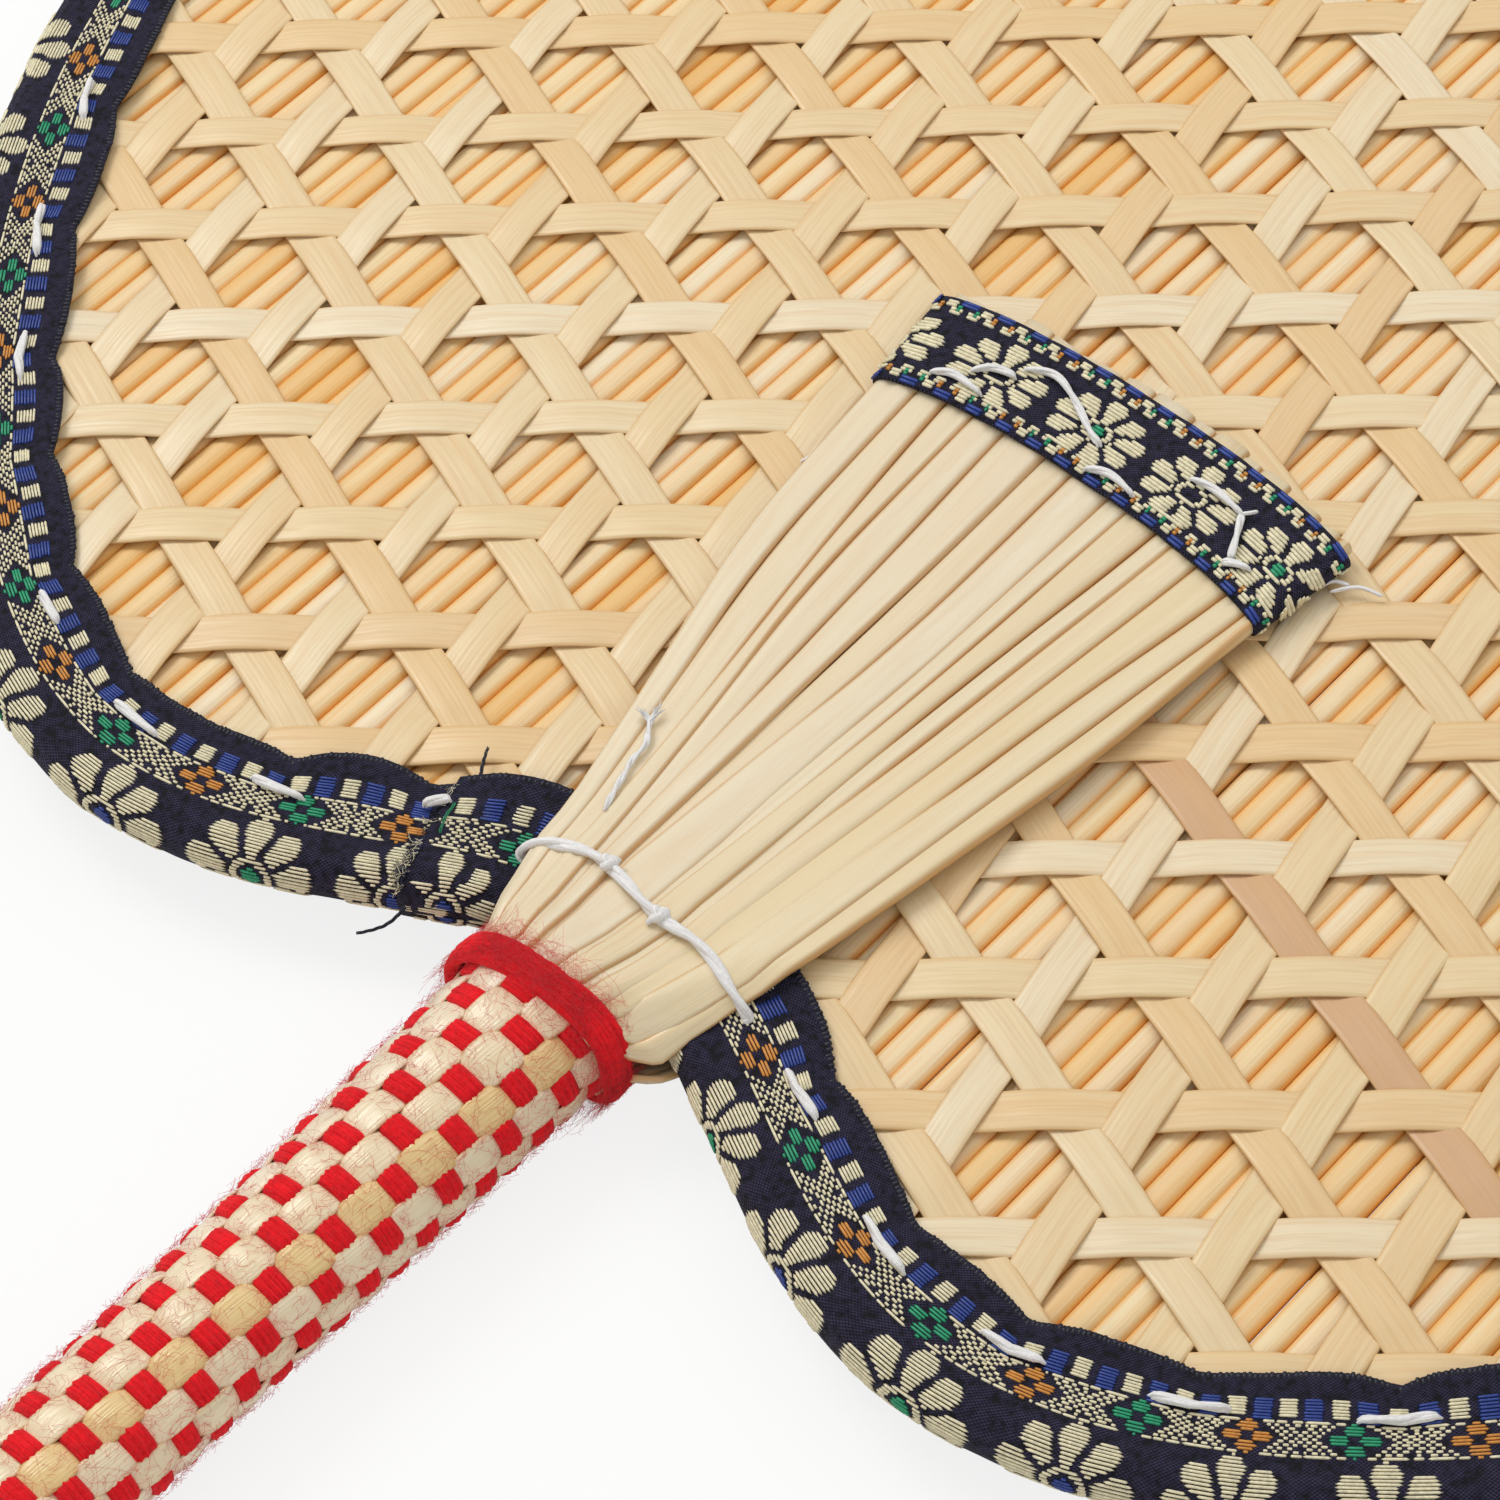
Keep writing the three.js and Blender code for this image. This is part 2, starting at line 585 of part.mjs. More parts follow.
// The woven grip: a tube whose face rises where a straw crosses over the yarn and falls where it
// dives beneath it, column by column and row by row, while the columns wind slowly round it
function wovenGrip() {
  const around = GRIP_COLUMNS * 2;
  const innerHalfWidth = WAIST_WIDTH / 2 - GRIP_WALL;
  const innerHalfDepth = WAIST_DEPTH / 2 - GRIP_WALL;
  const middle = (GRIP_TOP + GRIP_BOTTOM) / 2;
  const turnAt = (y) => THREE.MathUtils.degToRad(GRIP_TURN_DEG) * (middle - y) / (GRIP_TOP - GRIP_BOTTOM);
  const rows = Math.floor((GRIP_TOP - GRIP_BOTTOM) / GRIP_ROW_PITCH) - 1;
  const margin = (GRIP_TOP - GRIP_BOTTOM - (rows - 1) * GRIP_ROW_PITCH) / 2;
  const innerRing = (y) => ovalRing(y, innerHalfWidth, innerHalfDepth, GRIP_ROUNDNESS, around);
  const outerRing = (y, isFloat) => {
    const full = ovalRing(y, ...gripHalf(y), GRIP_ROUNDNESS, around, turnAt(y));
    return full.map((point, i) => {
      const length = Math.hypot(point.x, point.z);
      const scale = isFloat(i) ? 1 : (length - FLOAT_RISE) / length;
      return new THREE.Vector3(point.x * scale, y, point.z * scale);
    });
  };
  const nowhere = () => false;
  const rings = [innerRing(GRIP_BOTTOM), outerRing(GRIP_BOTTOM, nowhere)];
  for (let row = 0; row < rows; row += 1) {
    const y = GRIP_BOTTOM + margin + row * GRIP_ROW_PITCH;
    rings.push(outerRing(y, (i) => i % 2 === 0 && (i / 2 + row) % 2 === 0));
  }
  rings.push(outerRing(GRIP_TOP, nowhere));
  rings.push(innerRing(GRIP_TOP));
  return loft(rings, { closed: true });
}

function twoDigits(number) {
  return String(number + 1).padStart(2, '0');
}

addPiece('straw_core', strawMat(), MAT_STRAW);
addPiece('front_weave', splintNet(1), SPLINT);
addPiece('back_weave', splintNet(-1), SPLINT);
addPiece('edge_ribbon', edgeRibbon(), RIBBON);
for (const [side, face] of [['front', 1], ['back', -1]]) {
  for (let i = 0; i < SPRAY_STRAWS; i += 1) {
    addPiece(`${side}_straw_${twoDigits(i)}`, sprayStraw(i, face), STRAW);
  }
  addPiece(`${side}_band`, sprayBand(face), RIBBON);
  addPiece(`${side}_tie`, tieThread(face), THREAD);
}
addPiece('handle_core', handleCore(), STRAW);
addPiece('woven_grip', wovenGrip(), STRAW);
const neckWidth = NECK_HALF_WIDTH + COLLAR_EASE;
addPiece('upper_collar', yarnCollar(COLLAR_Y, neckWidth, COLLAR_INNER_DEPTH, COLLAR_SQUARENESS), YARN);
const footWidth = CORE_FOOT_WIDTH / 2 + GAP;
const footDepth = CORE_FOOT_DEPTH / 2 + GAP;
addPiece('lower_collar', yarnCollar(LOWER_COLLAR_Y, footWidth, footDepth, GRIP_ROUNDNESS), YARN);

export default fan;
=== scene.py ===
# %% [markdown]
# # A woven straw hand fan
# The fan is basketwork: a mat of straws between two open nets of bamboo splints, a patterned ribbon folded
# over the edge, and a handle of straws woven with red yarn. Its straws spread over both faces of the blade.
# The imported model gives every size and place. This lesson dresses it, piece by piece, in metres.

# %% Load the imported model
import json
import math

import bpy
import numpy as np
from mathutils import Matrix, Vector

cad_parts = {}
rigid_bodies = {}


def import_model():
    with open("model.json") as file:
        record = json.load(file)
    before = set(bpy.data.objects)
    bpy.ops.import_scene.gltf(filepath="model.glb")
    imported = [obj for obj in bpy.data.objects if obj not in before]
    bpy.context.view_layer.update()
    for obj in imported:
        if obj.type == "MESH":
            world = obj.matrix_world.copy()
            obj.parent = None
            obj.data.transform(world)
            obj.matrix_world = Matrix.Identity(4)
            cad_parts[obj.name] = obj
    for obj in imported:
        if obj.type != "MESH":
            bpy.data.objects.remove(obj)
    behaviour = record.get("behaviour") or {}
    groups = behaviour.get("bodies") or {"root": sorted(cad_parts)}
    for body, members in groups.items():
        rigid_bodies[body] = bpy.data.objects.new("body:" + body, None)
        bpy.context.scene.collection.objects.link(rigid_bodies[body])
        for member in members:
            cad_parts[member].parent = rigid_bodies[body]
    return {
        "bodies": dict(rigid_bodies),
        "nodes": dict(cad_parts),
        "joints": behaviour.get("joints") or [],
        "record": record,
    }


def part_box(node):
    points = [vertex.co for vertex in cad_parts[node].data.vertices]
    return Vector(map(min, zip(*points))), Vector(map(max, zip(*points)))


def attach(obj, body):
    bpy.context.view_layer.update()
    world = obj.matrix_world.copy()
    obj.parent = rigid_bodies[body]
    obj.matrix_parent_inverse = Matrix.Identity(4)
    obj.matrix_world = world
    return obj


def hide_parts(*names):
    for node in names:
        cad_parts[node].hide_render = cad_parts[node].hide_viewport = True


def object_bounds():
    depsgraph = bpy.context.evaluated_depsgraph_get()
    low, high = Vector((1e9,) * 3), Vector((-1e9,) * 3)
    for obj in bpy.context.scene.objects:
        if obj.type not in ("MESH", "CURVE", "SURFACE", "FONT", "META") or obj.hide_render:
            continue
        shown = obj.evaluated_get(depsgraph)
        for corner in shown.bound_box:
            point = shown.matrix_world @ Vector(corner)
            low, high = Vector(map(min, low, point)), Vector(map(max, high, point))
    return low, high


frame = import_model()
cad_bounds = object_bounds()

MM = 0.001


def in_mm(*boxes):
    return [[round(v / MM, 1) for v in corner] for box in boxes for corner in box]


print("nodes:", len(frame["nodes"]), "box in mm:", in_mm(cad_bounds))

# %% [markdown]
# ## Camera, lights and floor
# The camera comes first. The photograph looks at the blade from its lower right, about 52 degrees above it,
# through a long lens, so the hexagons of the weave keep their shape all over the picture.

# %% Camera
CAMERA_PLACE = (242.63 * MM, -68.61 * MM, 446.67 * MM)
CAMERA_RIGHT = np.array([0.74320, 0.66597, -0.06427])
CAMERA_BACK = np.array([0.44302, -0.41786, 0.79317])
LENS_MM = 120
SENSOR_MM = 36
CLIP_RANGE = (0.02, 20)

camera = bpy.data.objects.new("camera", bpy.data.cameras.new("camera"))
bpy.context.scene.collection.objects.link(camera)
camera.data.lens = LENS_MM
camera.data.sensor_width = SENSOR_MM
camera.rotation_mode = "QUATERNION"
camera_up = np.cross(CAMERA_BACK, CAMERA_RIGHT)
turn = np.identity(4)
turn[:3, :3] = np.column_stack([CAMERA_RIGHT, camera_up, CAMERA_BACK])
turn[:3, 3] = CAMERA_PLACE
camera.matrix_world = Matrix(turn.tolist())
camera.data.clip_start, camera.data.clip_end = CLIP_RANGE
bpy.context.scene.camera = camera
print("camera stands", round(CAMERA_PLACE[2], 3), "m above the blade")

# %% [markdown]
# Three big soft lamps and a bright room. The key lamp stands behind the left lobe, because the photograph's
# splints throw their soft shadows to the lower right. The floor is pale and plain, and looks white to the
# camera.

# %% Lights and world
WHITE = (1, 1, 1, 1)
WORLD_STRENGTH = 0.5
LAMPS = (                       # name, place and size in metres, watts
    ("key", (-0.75, 0.25, 0.95), 0.55, 6.5),
    ("fill", (0.85, -0.45, 0.9), 0.9, 2.0),
    ("top", (-0.1, 0.9, 1.0), 0.8, 2.6),
)
LOOK_AT = np.array([0.0, 0.19, 0.0])


def linear(text):
    """A colour written as #RRGGBB, in the linear values that a node takes."""
    parts = [int(text[i:i + 2], 16) / 255 for i in (1, 3, 5)]
    return (*[p / 12.92 if p <= 0.04045 else ((p + 0.055) / 1.055) ** 2.4 for p in parts], 1.0)


def put(tree, kind, inputs=None, **settings):
    """Adds a node, makes its settings, and fills its inputs with values or with links from other nodes."""
    node = tree.nodes.new(kind)
    for name, value in settings.items():
        setattr(node, name, value)
    for key, value in (inputs or {}).items():
        if isinstance(value, bpy.types.Node):
            value = next(socket for socket in value.outputs if socket.enabled)
        if isinstance(value, bpy.types.NodeSocket):
            tree.links.new(value, node.inputs[key])
        else:
            node.inputs[key].default_value = value
    return node


for name, place, size, power in LAMPS:
    lamp = bpy.data.objects.new(name, bpy.data.lights.new(name, "AREA"))
    lamp.data.size = size
    lamp.data.energy = power
    lamp.location = place
    lamp.rotation_euler = Vector(np.array(place) - LOOK_AT).to_track_quat("Z", "Y").to_euler()
    bpy.context.scene.collection.objects.link(lamp)

world = bpy.data.worlds.new("studio")
bpy.context.scene.world = world
world.use_nodes = True
world.node_tree.nodes.clear()
sky = put(world.node_tree, "ShaderNodeBackground", {"Color": WHITE, "Strength": WORLD_STRENGTH})
seen = put(world.node_tree, "ShaderNodeBackground", {"Color": WHITE, "Strength": 1.0})
ray = put(world.node_tree, "ShaderNodeLightPath")
choice = put(world.node_tree, "ShaderNodeMixShader", {0: ray.outputs["Is Camera Ray"], 1: sky, 2: seen})
put(world.node_tree, "ShaderNodeOutputWorld", {0: choice})
bpy.context.scene.view_settings.view_transform = "Standard"

# %% Floor
FLOOR_COLOUR = "#F6F5F2"
FLOOR_SIZE = 12.0
FLOOR_GAP = 0.4 * MM            # between the floor and the fan
FLOOR_GLOW = 0.82               # the share of plain white that the camera sees in it


def new_material(name):
    """An empty material, and its tree."""
    material = bpy.data.materials.new(name)
    material.use_nodes = True
    material.node_tree.nodes.clear()
    return material, material.node_tree


def link_object(name, mesh):
    """Puts a mesh in the scene under its name."""
    piece = bpy.data.objects.new(name, mesh)
    bpy.context.scene.collection.objects.link(piece)
    return piece


floor_mesh = bpy.data.meshes.new("floor")
floor_z = cad_bounds[0].z - FLOOR_GAP
corners = [(x * FLOOR_SIZE / 2, y * FLOOR_SIZE / 2, floor_z) for x, y in ((-1, -1), (1, -1), (1, 1), (-1, 1))]
floor_mesh.from_pydata(corners, [], [(0, 1, 2, 3)])
floor = link_object("floor", floor_mesh)
floor_paint, tree = new_material("pale_floor")
matte = put(tree, "ShaderNodeBsdfDiffuse", {"Color": linear(FLOOR_COLOUR)})
glow = put(tree, "ShaderNodeEmission", {"Color": WHITE, "Strength": 1.0})
ray = put(tree, "ShaderNodeLightPath")
share = put(tree, "ShaderNodeMath", {0: ray.outputs["Is Camera Ray"], 1: FLOOR_GLOW}, operation="MULTIPLY")
blend = put(tree, "ShaderNodeMixShader", {0: share, 1: matte, 2: glow})
put(tree, "ShaderNodeOutputMaterial", {0: blend})
floor_mesh.materials.append(floor_paint)

# %% [markdown]
# ## The blade's edge
# Everything on the blade is placed from its outline, which is a few Bezier curves as in the construction. A
# place there is a distance `s` along the edge, anticlockwise from the notch, and a distance in from the
# edge.

# %% Outline
ribbon_low, ribbon_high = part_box("edge_ribbon")
collar_low, collar_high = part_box("upper_collar")
COLLAR_Y = (collar_low.y + collar_high.y) / 2
NOTCH_RISE = 7 * MM
NOTCH_REACH = 18 * MM
LOBE_X = 61 * MM
LOBE_REACH_IN = 26 * MM
LOBE_REACH_OUT = 45 * MM
WIDEST_RISE = 118 * MM
SIDE_REACH_DOWN = 60 * MM
SIDE_REACH_UP = 88 * MM
TIP_REACH = 66 * MM
TIP_FALL = 6 * MM
STEPS_PER_CURVE = 240
CORNER_BLEND = 9            # steps over which the edge's direction is averaged, which rounds the corners


def bezier(a, b, c, d):
    t = np.linspace(0, 1, STEPS_PER_CURVE, endpoint=False)[:, None]
    return (1 - t) ** 3 * a + 3 * (1 - t) ** 2 * t * b + 3 * (1 - t) * t * t * c + t ** 3 * d


def blade_outline():
    wide, low, tip = ribbon_high.x, ribbon_low.y, ribbon_high.y
    notch = COLLAR_Y + NOTCH_RISE
    side = COLLAR_Y + WIDEST_RISE
    right = [
        [(0, notch), (NOTCH_REACH, notch), (LOBE_X - LOBE_REACH_IN, low), (LOBE_X, low)],
        [(LOBE_X, low), (LOBE_X + LOBE_REACH_OUT, low), (wide, side - SIDE_REACH_DOWN), (wide, side)],
        [(wide, side), (wide, side + SIDE_REACH_UP), (TIP_REACH, tip - TIP_FALL), (0, tip)],
    ]
    left = [[(-x, y) for x, y in reversed(curve)] for curve in reversed(right)]
    return np.concatenate([bezier(*np.array(curve)) for curve in right + left])


def distance_along(points):
    """How far along a line of points each of them lies."""
    return np.concatenate([[0], np.cumsum(np.linalg.norm(np.diff(points, axis=0), axis=1))])


OUTLINE = blade_outline()
closed = np.vstack([OUTLINE, OUTLINE[:1]])
EDGE_S = distance_along(closed)
EDGE_LENGTH = EDGE_S[-1]
along_edge = np.roll(OUTLINE, -1, axis=0) - np.roll(OUTLINE, 1, axis=0)
along_edge = sum(np.roll(along_edge, k, axis=0) for k in range(-CORNER_BLEND, CORNER_BLEND + 1))
along_edge /= np.linalg.norm(along_edge, axis=1)[:, None]
EDGE_IN = np.column_stack([-along_edge[:, 1], along_edge[:, 0]])
EDGE_IN = np.vstack([EDGE_IN, EDGE_IN[:1]])


def edge_at(s):
    """Places on the blade's edge and the direction in from it, for distances s along it."""
    turn_s = np.mod(s, EDGE_LENGTH)
    place = np.stack([np.interp(turn_s, EDGE_S, closed[:, k]) for k in (0, 1)], -1)
    inward = np.stack([np.interp(turn_s, EDGE_S, EDGE_IN[:, k]) for k in (0, 1)], -1)
    return place, inward / np.linalg.norm(inward, axis=-1, keepdims=True)


def inside(points, polygon):
    """True for each point that lies in the polygon."""
    x, y = points[:, 0][:, None], points[:, 1][:, None]
    ax, ay = polygon[:, 0][None], polygon[:, 1][None]
    bx, by = np.roll(ax, -1, axis=1), np.roll(ay, -1, axis=1)
    rises = (ay > y) != (by > y)
    with np.errstate(divide="ignore", invalid="ignore"):
        cross = x < (bx - ax) * (y - ay) / (by - ay) + ax
    return (rises & cross).sum(axis=1) % 2 == 1


print("the blade's edge is", round(EDGE_LENGTH / MM), "mm long")

# %% [markdown]
# ## One tree that sweeps a section along lines
# Straws, splints, yarn, stitches and fuzz are all one thing: a small section carried along a path. The
# paths are laid by code as plain edges, and one Geometry Nodes tree turns each into a curve, sweeps a
# rounded section along it and keeps two measures on the surface: how far along the strand a point is, and
# where it is in the section.

# %% Sweep tree
def new_tree(name, sockets):
    """A geometry tree with named inputs, and its input node."""
    tree = bpy.data.node_groups.new(name, "GeometryNodeTree")
    tree.interface.new_socket("Geometry", in_out="INPUT", socket_type="NodeSocketGeometry")
    for label, kind in sockets:
        tree.interface.new_socket(label, in_out="INPUT", socket_type=kind)
    tree.interface.new_socket("Geometry", in_out="OUTPUT", socket_type="NodeSocketGeometry")
    return tree, tree.nodes.new("NodeGroupInput")


def end_tree(tree, given, shape):
    """Makes a tree's instances real, paints the result and puts it out."""
    whole = put(tree, "GeometryNodeRealizeInstances", {"Geometry": shape})
    painted = put(tree, "GeometryNodeSetMaterial", {"Geometry": whole, "Material": given.outputs["Material"]})
    put(tree, "NodeGroupOutput", {"Geometry": painted})
    return tree


def named_value(tree, name, kind="FLOAT"):
    """The numbers kept on a mesh under a name, inside a geometry tree."""
    return put(tree, "GeometryNodeInputNamedAttribute", {"Name": name}, data_type=kind).outputs["Attribute"]


FLOAT = "NodeSocketFloat"
SWEEP_SOCKETS = [("Half width", FLOAT), ("Half height", FLOAT), ("Squareness", FLOAT),
                 ("Sides", "NodeSocketInt"), ("Flat", "NodeSocketBool"), ("Material", "NodeSocketMaterial")]


def sweep_tree():
    """A rounded section carried along each line, scaled by the line's girth."""
    tree, given = new_tree("sweep_section_along_lines", SWEEP_SOCKETS)
    curve = put(tree, "GeometryNodeMeshToCurve", {"Mesh": given.outputs["Geometry"]})
    upright = put(tree, "GeometryNodeSetCurveNormal", {"Curve": curve}, mode="Z_UP")
    turning = put(tree, "GeometryNodeSwitch",
                  {"Switch": given.outputs["Flat"], "False": curve, "True": upright}, input_type="GEOMETRY")
    length = put(tree, "GeometryNodeSplineParameter")
    marked = put(tree, "GeometryNodeStoreNamedAttribute",
                 {"Geometry": turning, "Name": "along", "Value": length.outputs["Length"]},
                 data_type="FLOAT", domain="POINT")
    circle = put(tree, "GeometryNodeCurvePrimitiveCircle",
                 {"Resolution": given.outputs["Sides"], "Radius": 1.0})
    place = put(tree, "GeometryNodeInputPosition")
    axes = put(tree, "ShaderNodeSeparateXYZ", {0: place})
    power = put(tree, "ShaderNodeMath", {0: 2.0, 1: given.outputs["Squareness"]}, operation="DIVIDE")
    shaped = []
    for axis, size in (("X", "Half width"), ("Y", "Half height")):
        size_free = put(tree, "ShaderNodeMath", {0: axes.outputs[axis]}, operation="ABSOLUTE")
        raised = put(tree, "ShaderNodeMath", {0: size_free, 1: power}, operation="POWER")
        sign = put(tree, "ShaderNodeMath", {0: axes.outputs[axis]}, operation="SIGN")
        signed = put(tree, "ShaderNodeMath", {0: raised, 1: sign}, operation="MULTIPLY")
        shaped.append(put(tree, "ShaderNodeMath", {0: signed, 1: given.outputs[size]}, operation="MULTIPLY"))
    section_place = put(tree, "ShaderNodeCombineXYZ", {0: shaped[0], 1: shaped[1]})
    section = put(tree, "GeometryNodeSetPosition", {"Geometry": circle, "Position": section_place})
    shaped_place = put(tree, "GeometryNodeInputPosition")
    section_marked = put(tree, "GeometryNodeStoreNamedAttribute",
                         {"Geometry": section, "Name": "section", "Value": shaped_place},
                         data_type="FLOAT_VECTOR", domain="POINT")
    solid = put(tree, "GeometryNodeCurveToMesh",
                {"Curve": marked, "Profile Curve": section_marked, "Scale": named_value(tree, "girth"),
                 "Fill Caps": True})
    smooth = put(tree, "GeometryNodeSetShadeSmooth", {"Geometry": solid, "Shade Smooth": True})
    return end_tree(tree, given, smooth)


SWEEP = sweep_tree()


def keep_value(mesh, name, kind, values):
    """Stores numbers on a mesh's points."""
    attribute = mesh.attributes.new(name, kind, "POINT")
    field = "vector" if kind == "FLOAT_VECTOR" else "value"
    attribute.data.foreach_set(field, np.asarray(values, np.float32).ravel())


def evaluated_mesh(piece):
    """The plain mesh that a piece's modifiers make."""
    graph = bpy.context.evaluated_depsgraph_get()
    return bpy.data.meshes.new_from_object(piece.evaluated_get(graph), preserve_all_data_layers=True,
                                           depsgraph=graph)


def run_tree(name, source_mesh, tree, values):
    """Runs a tree on a mesh and returns the result as a plain mesh object of that name."""
    source = link_object(name + "_lines", source_mesh)
    modifier = source.modifiers.new("nodes", "NODES")
    modifier.node_group = tree
    identifiers = {item.name: item.identifier for item in tree.interface.items_tree if item.in_out == "INPUT"}
    for label, value in values.items():
        modifier[identifiers[label]] = value
    mesh = evaluated_mesh(source)
    mesh.name = name
    bpy.data.objects.remove(source)
    return link_object(name, mesh)


def lines_mesh(name, lines, tints, girths=None, closed_lines=False):
    """Polylines as a mesh of edges. Each line has a tint, and a girth for each of its points or for all."""
    counts = [len(line) for line in lines]
    mesh = bpy.data.meshes.new(name)
    edges, start = [], 0
    for count in counts:
        edges += [(start + i, start + i + 1) for i in range(count - 1)]
        if closed_lines:
            edges.append((start + count - 1, start))
        start += count
    mesh.from_pydata(np.concatenate(lines).tolist(), edges, [])
    keep_value(mesh, "tint", "FLOAT", np.repeat(tints, counts))
    girths = [1.0] * len(lines) if girths is None else girths
    spread = [np.broadcast_to(girth, count) for girth, count in zip(girths, counts)]
    keep_value(mesh, "girth", "FLOAT", np.concatenate(spread))
    return mesh


def sweep(name, lines, half_width, half_height, material, tints=None, girths=None, sides=8, squareness=2.0,
          flat=False, closed_lines=False):
    """Strands of one section along many lines, as one piece."""
    tints = np.zeros(len(lines)) if tints is None else tints
    source = lines_mesh(name, lines, tints, girths, closed_lines)
    return run_tree(name, source, SWEEP, {
        "Half width": half_width, "Half height": half_height, "Squareness": squareness, "Sides": sides,
        "Flat": flat, "Material": material})


def settle(piece, slot, *nodes):
    """A finished piece rides on the body and stands for its CAD nodes. The slot is not used."""
    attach(piece, "root")
    if nodes:
        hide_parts(*nodes)
    print(piece.name, len(piece.data.polygons), "faces")
    return piece


# %% [markdown]
# ## Finishes
# Bamboo splint is the outer skin of the cane: pale, a little glossy, with fine fibres all along it. Each
# strip takes its own shade from its tint, and the fibres are noise stretched along the strip.

# %% Bamboo and straw
def finish_material(material, tree, inputs):
    """Ends a material with its surface."""
    put(tree, "ShaderNodeOutputMaterial", {0: put(tree, "ShaderNodeBsdfPrincipled", inputs)})
    return material


STRAND_SHIFT = 7.31         # metres between the noise of one strand and the next
FIBRE_SIZE = (9 * MM, 0.34 * MM)        # along and across
STREAK_SIZE = (60 * MM, 1.3 * MM)
SLIT_SIZE = (24 * MM, 0.5 * MM)
SLIT_COLOUR = "#A87440"
VEIN_SHARE = 0.14           # of the relief, beside the fibres


def kept_value(tree, name, output="Fac"):
    """What a strand keeps on its surface under a name, inside a material."""
    return put(tree, "ShaderNodeAttribute", attribute_name=name).outputs[output]


def strand_noise(tree, along, length, width, detail, roughness=0.5):
    """Noise that is drawn out along a strand, for a distance along it that a node gives."""
    axes = put(tree, "ShaderNodeSeparateXYZ", {0: kept_value(tree, "section", "Vector")})
    place = put(tree, "ShaderNodeCombineXYZ", {0: along, 1: axes.outputs[0], 2: axes.outputs[1]})
    scaled = put(tree, "ShaderNodeVectorMath", {0: place, 1: (1 / length, 1 / width, 1 / width)},
                 operation="MULTIPLY")
    return put(tree, "ShaderNodeTexNoise",
               {"Vector": scaled, "Scale": 1.0, "Detail": detail, "Roughness": roughness})


def tint_ramp(tree, shades):
    """The colour of a strand from its tint: places between 0 and 1, and the shade at each."""
    ramp = put(tree, "ShaderNodeValToRGB", {0: kept_value(tree, "tint")})
    while len(ramp.color_ramp.elements) < len(shades):
        ramp.color_ramp.elements.new(1.0)
    for element, (place, text) in zip(ramp.color_ramp.elements, shades):
        element.position = place
        element.color = linear(text)
    return ramp


def strand_material(name, shades, fibre_colour, streak_and_seam_shade_colour, seam_shade_start, seam_shade_end, fibre, edge, streak,
                    roughness, relief, coat=0.0, vein=0.5 * MM, slit=0.0):
    """Plant strip: a shade for each strand, fibres, streaks and slits along it, and painted shade at its
    edges.
    """
    material, tree = new_material(name)
    shift = put(tree, "ShaderNodeMath", {0: kept_value(tree, "tint"), 1: STRAND_SHIFT}, operation="MULTIPLY")
    along = put(tree, "ShaderNodeMath", {0: kept_value(tree, "along"), 1: shift}, operation="ADD")
    fibres = strand_noise(tree, along, *FIBRE_SIZE, 3.0, 0.55)
    streaks = strand_noise(tree, along, *STREAK_SIZE, 2.0)
    splits = strand_noise(tree, along, *SLIT_SIZE, 0.0)
    sides = put(tree, "ShaderNodeSeparateXYZ", {0: kept_value(tree, "section", "Vector")})
    from_middle = put(tree, "ShaderNodeMath", {0: sides.outputs[0]}, operation="ABSOLUTE")
    colour = tint_ramp(tree, shades)
    # Third row: painted shade, warmed as by light through the straw, in the seams between strands.
    for pattern, low, high, most, text in (
            (fibres, 0.42, 0.68, fibre, fibre_colour), (streaks, 0.45, 0.75, streak, streak_and_seam_shade_colour),
            (from_middle, seam_shade_start, seam_shade_end, edge, streak_and_seam_shade_colour), (splits, 0.7, 0.76, slit, SLIT_COLOUR)):
        share = put(tree, "ShaderNodeMapRange",
                    {"Value": pattern, "From Min": low, "From Max": high, "To Min": 0.0, "To Max": most})
        colour = put(tree, "ShaderNodeMixRGB", {0: share, 1: colour, 2: linear(text)})
    rough = put(tree, "ShaderNodeMapRange",
                {"Value": fibres, "From Min": 0.3, "From Max": 0.7, "To Min": roughness - 0.06,
                 "To Max": roughness + 0.1})
    vein_angle = put(tree, "ShaderNodeMath", {0: sides.outputs[0], 1: 2 * math.pi / vein},
                     operation="MULTIPLY")
    veins = put(tree, "ShaderNodeMath", {0: vein_angle}, operation="COSINE")
    low_veins = put(tree, "ShaderNodeMath", {0: veins, 1: VEIN_SHARE}, operation="MULTIPLY")
    height = put(tree, "ShaderNodeMath", {0: fibres, 1: low_veins}, operation="ADD")
    bump = put(tree, "ShaderNodeBump", {"Height": height, "Strength": relief, "Distance": 0.12 * MM})
    return finish_material(material, tree, {
        "Base Color": colour, "Roughness": rough, "Normal": bump, "IOR": 1.5,
        "Coat Weight": coat, "Coat Roughness": 0.3})


SPLINT_HALF_WIDTH = 2.6 * MM
SPLINT_SHADES = ((0.0, "#EBDCBC"), (0.25, "#E6CEA0"), (0.5, "#E4C491"), (0.7, "#E8D4AB"), (0.96, "#E1BD89"),
                 (1.0, "#D2A97F"))
bamboo_splint = strand_material(
    "bamboo_splint", SPLINT_SHADES, "#C08A4C", "#E0AC66", 0.82 * SPLINT_HALF_WIDTH, SPLINT_HALF_WIDTH,
    fibre=0.2, edge=0.4, streak=0.2, roughness=0.38, relief=0.25, vein=0.7 * MM, slit=0.06)

MAT_STRAW_HALF = 1.8 * MM
MAT_SHADES = ((0.0, "#F0DCB0"), (0.35, "#EDCB91"), (0.65, "#F0E0BE"), (1.0, "#E8BA72"))
# Its orange second colour is painted shade in the grooves between the straws.
mat_straw = strand_material(
    "dried_mat_straw", MAT_SHADES, "#DFAA66", "#F0A93C", 0.5 * MAT_STRAW_HALF, MAT_STRAW_HALF,
    fibre=0.24, edge=0.8, streak=0.3, roughness=0.42, relief=0.3)

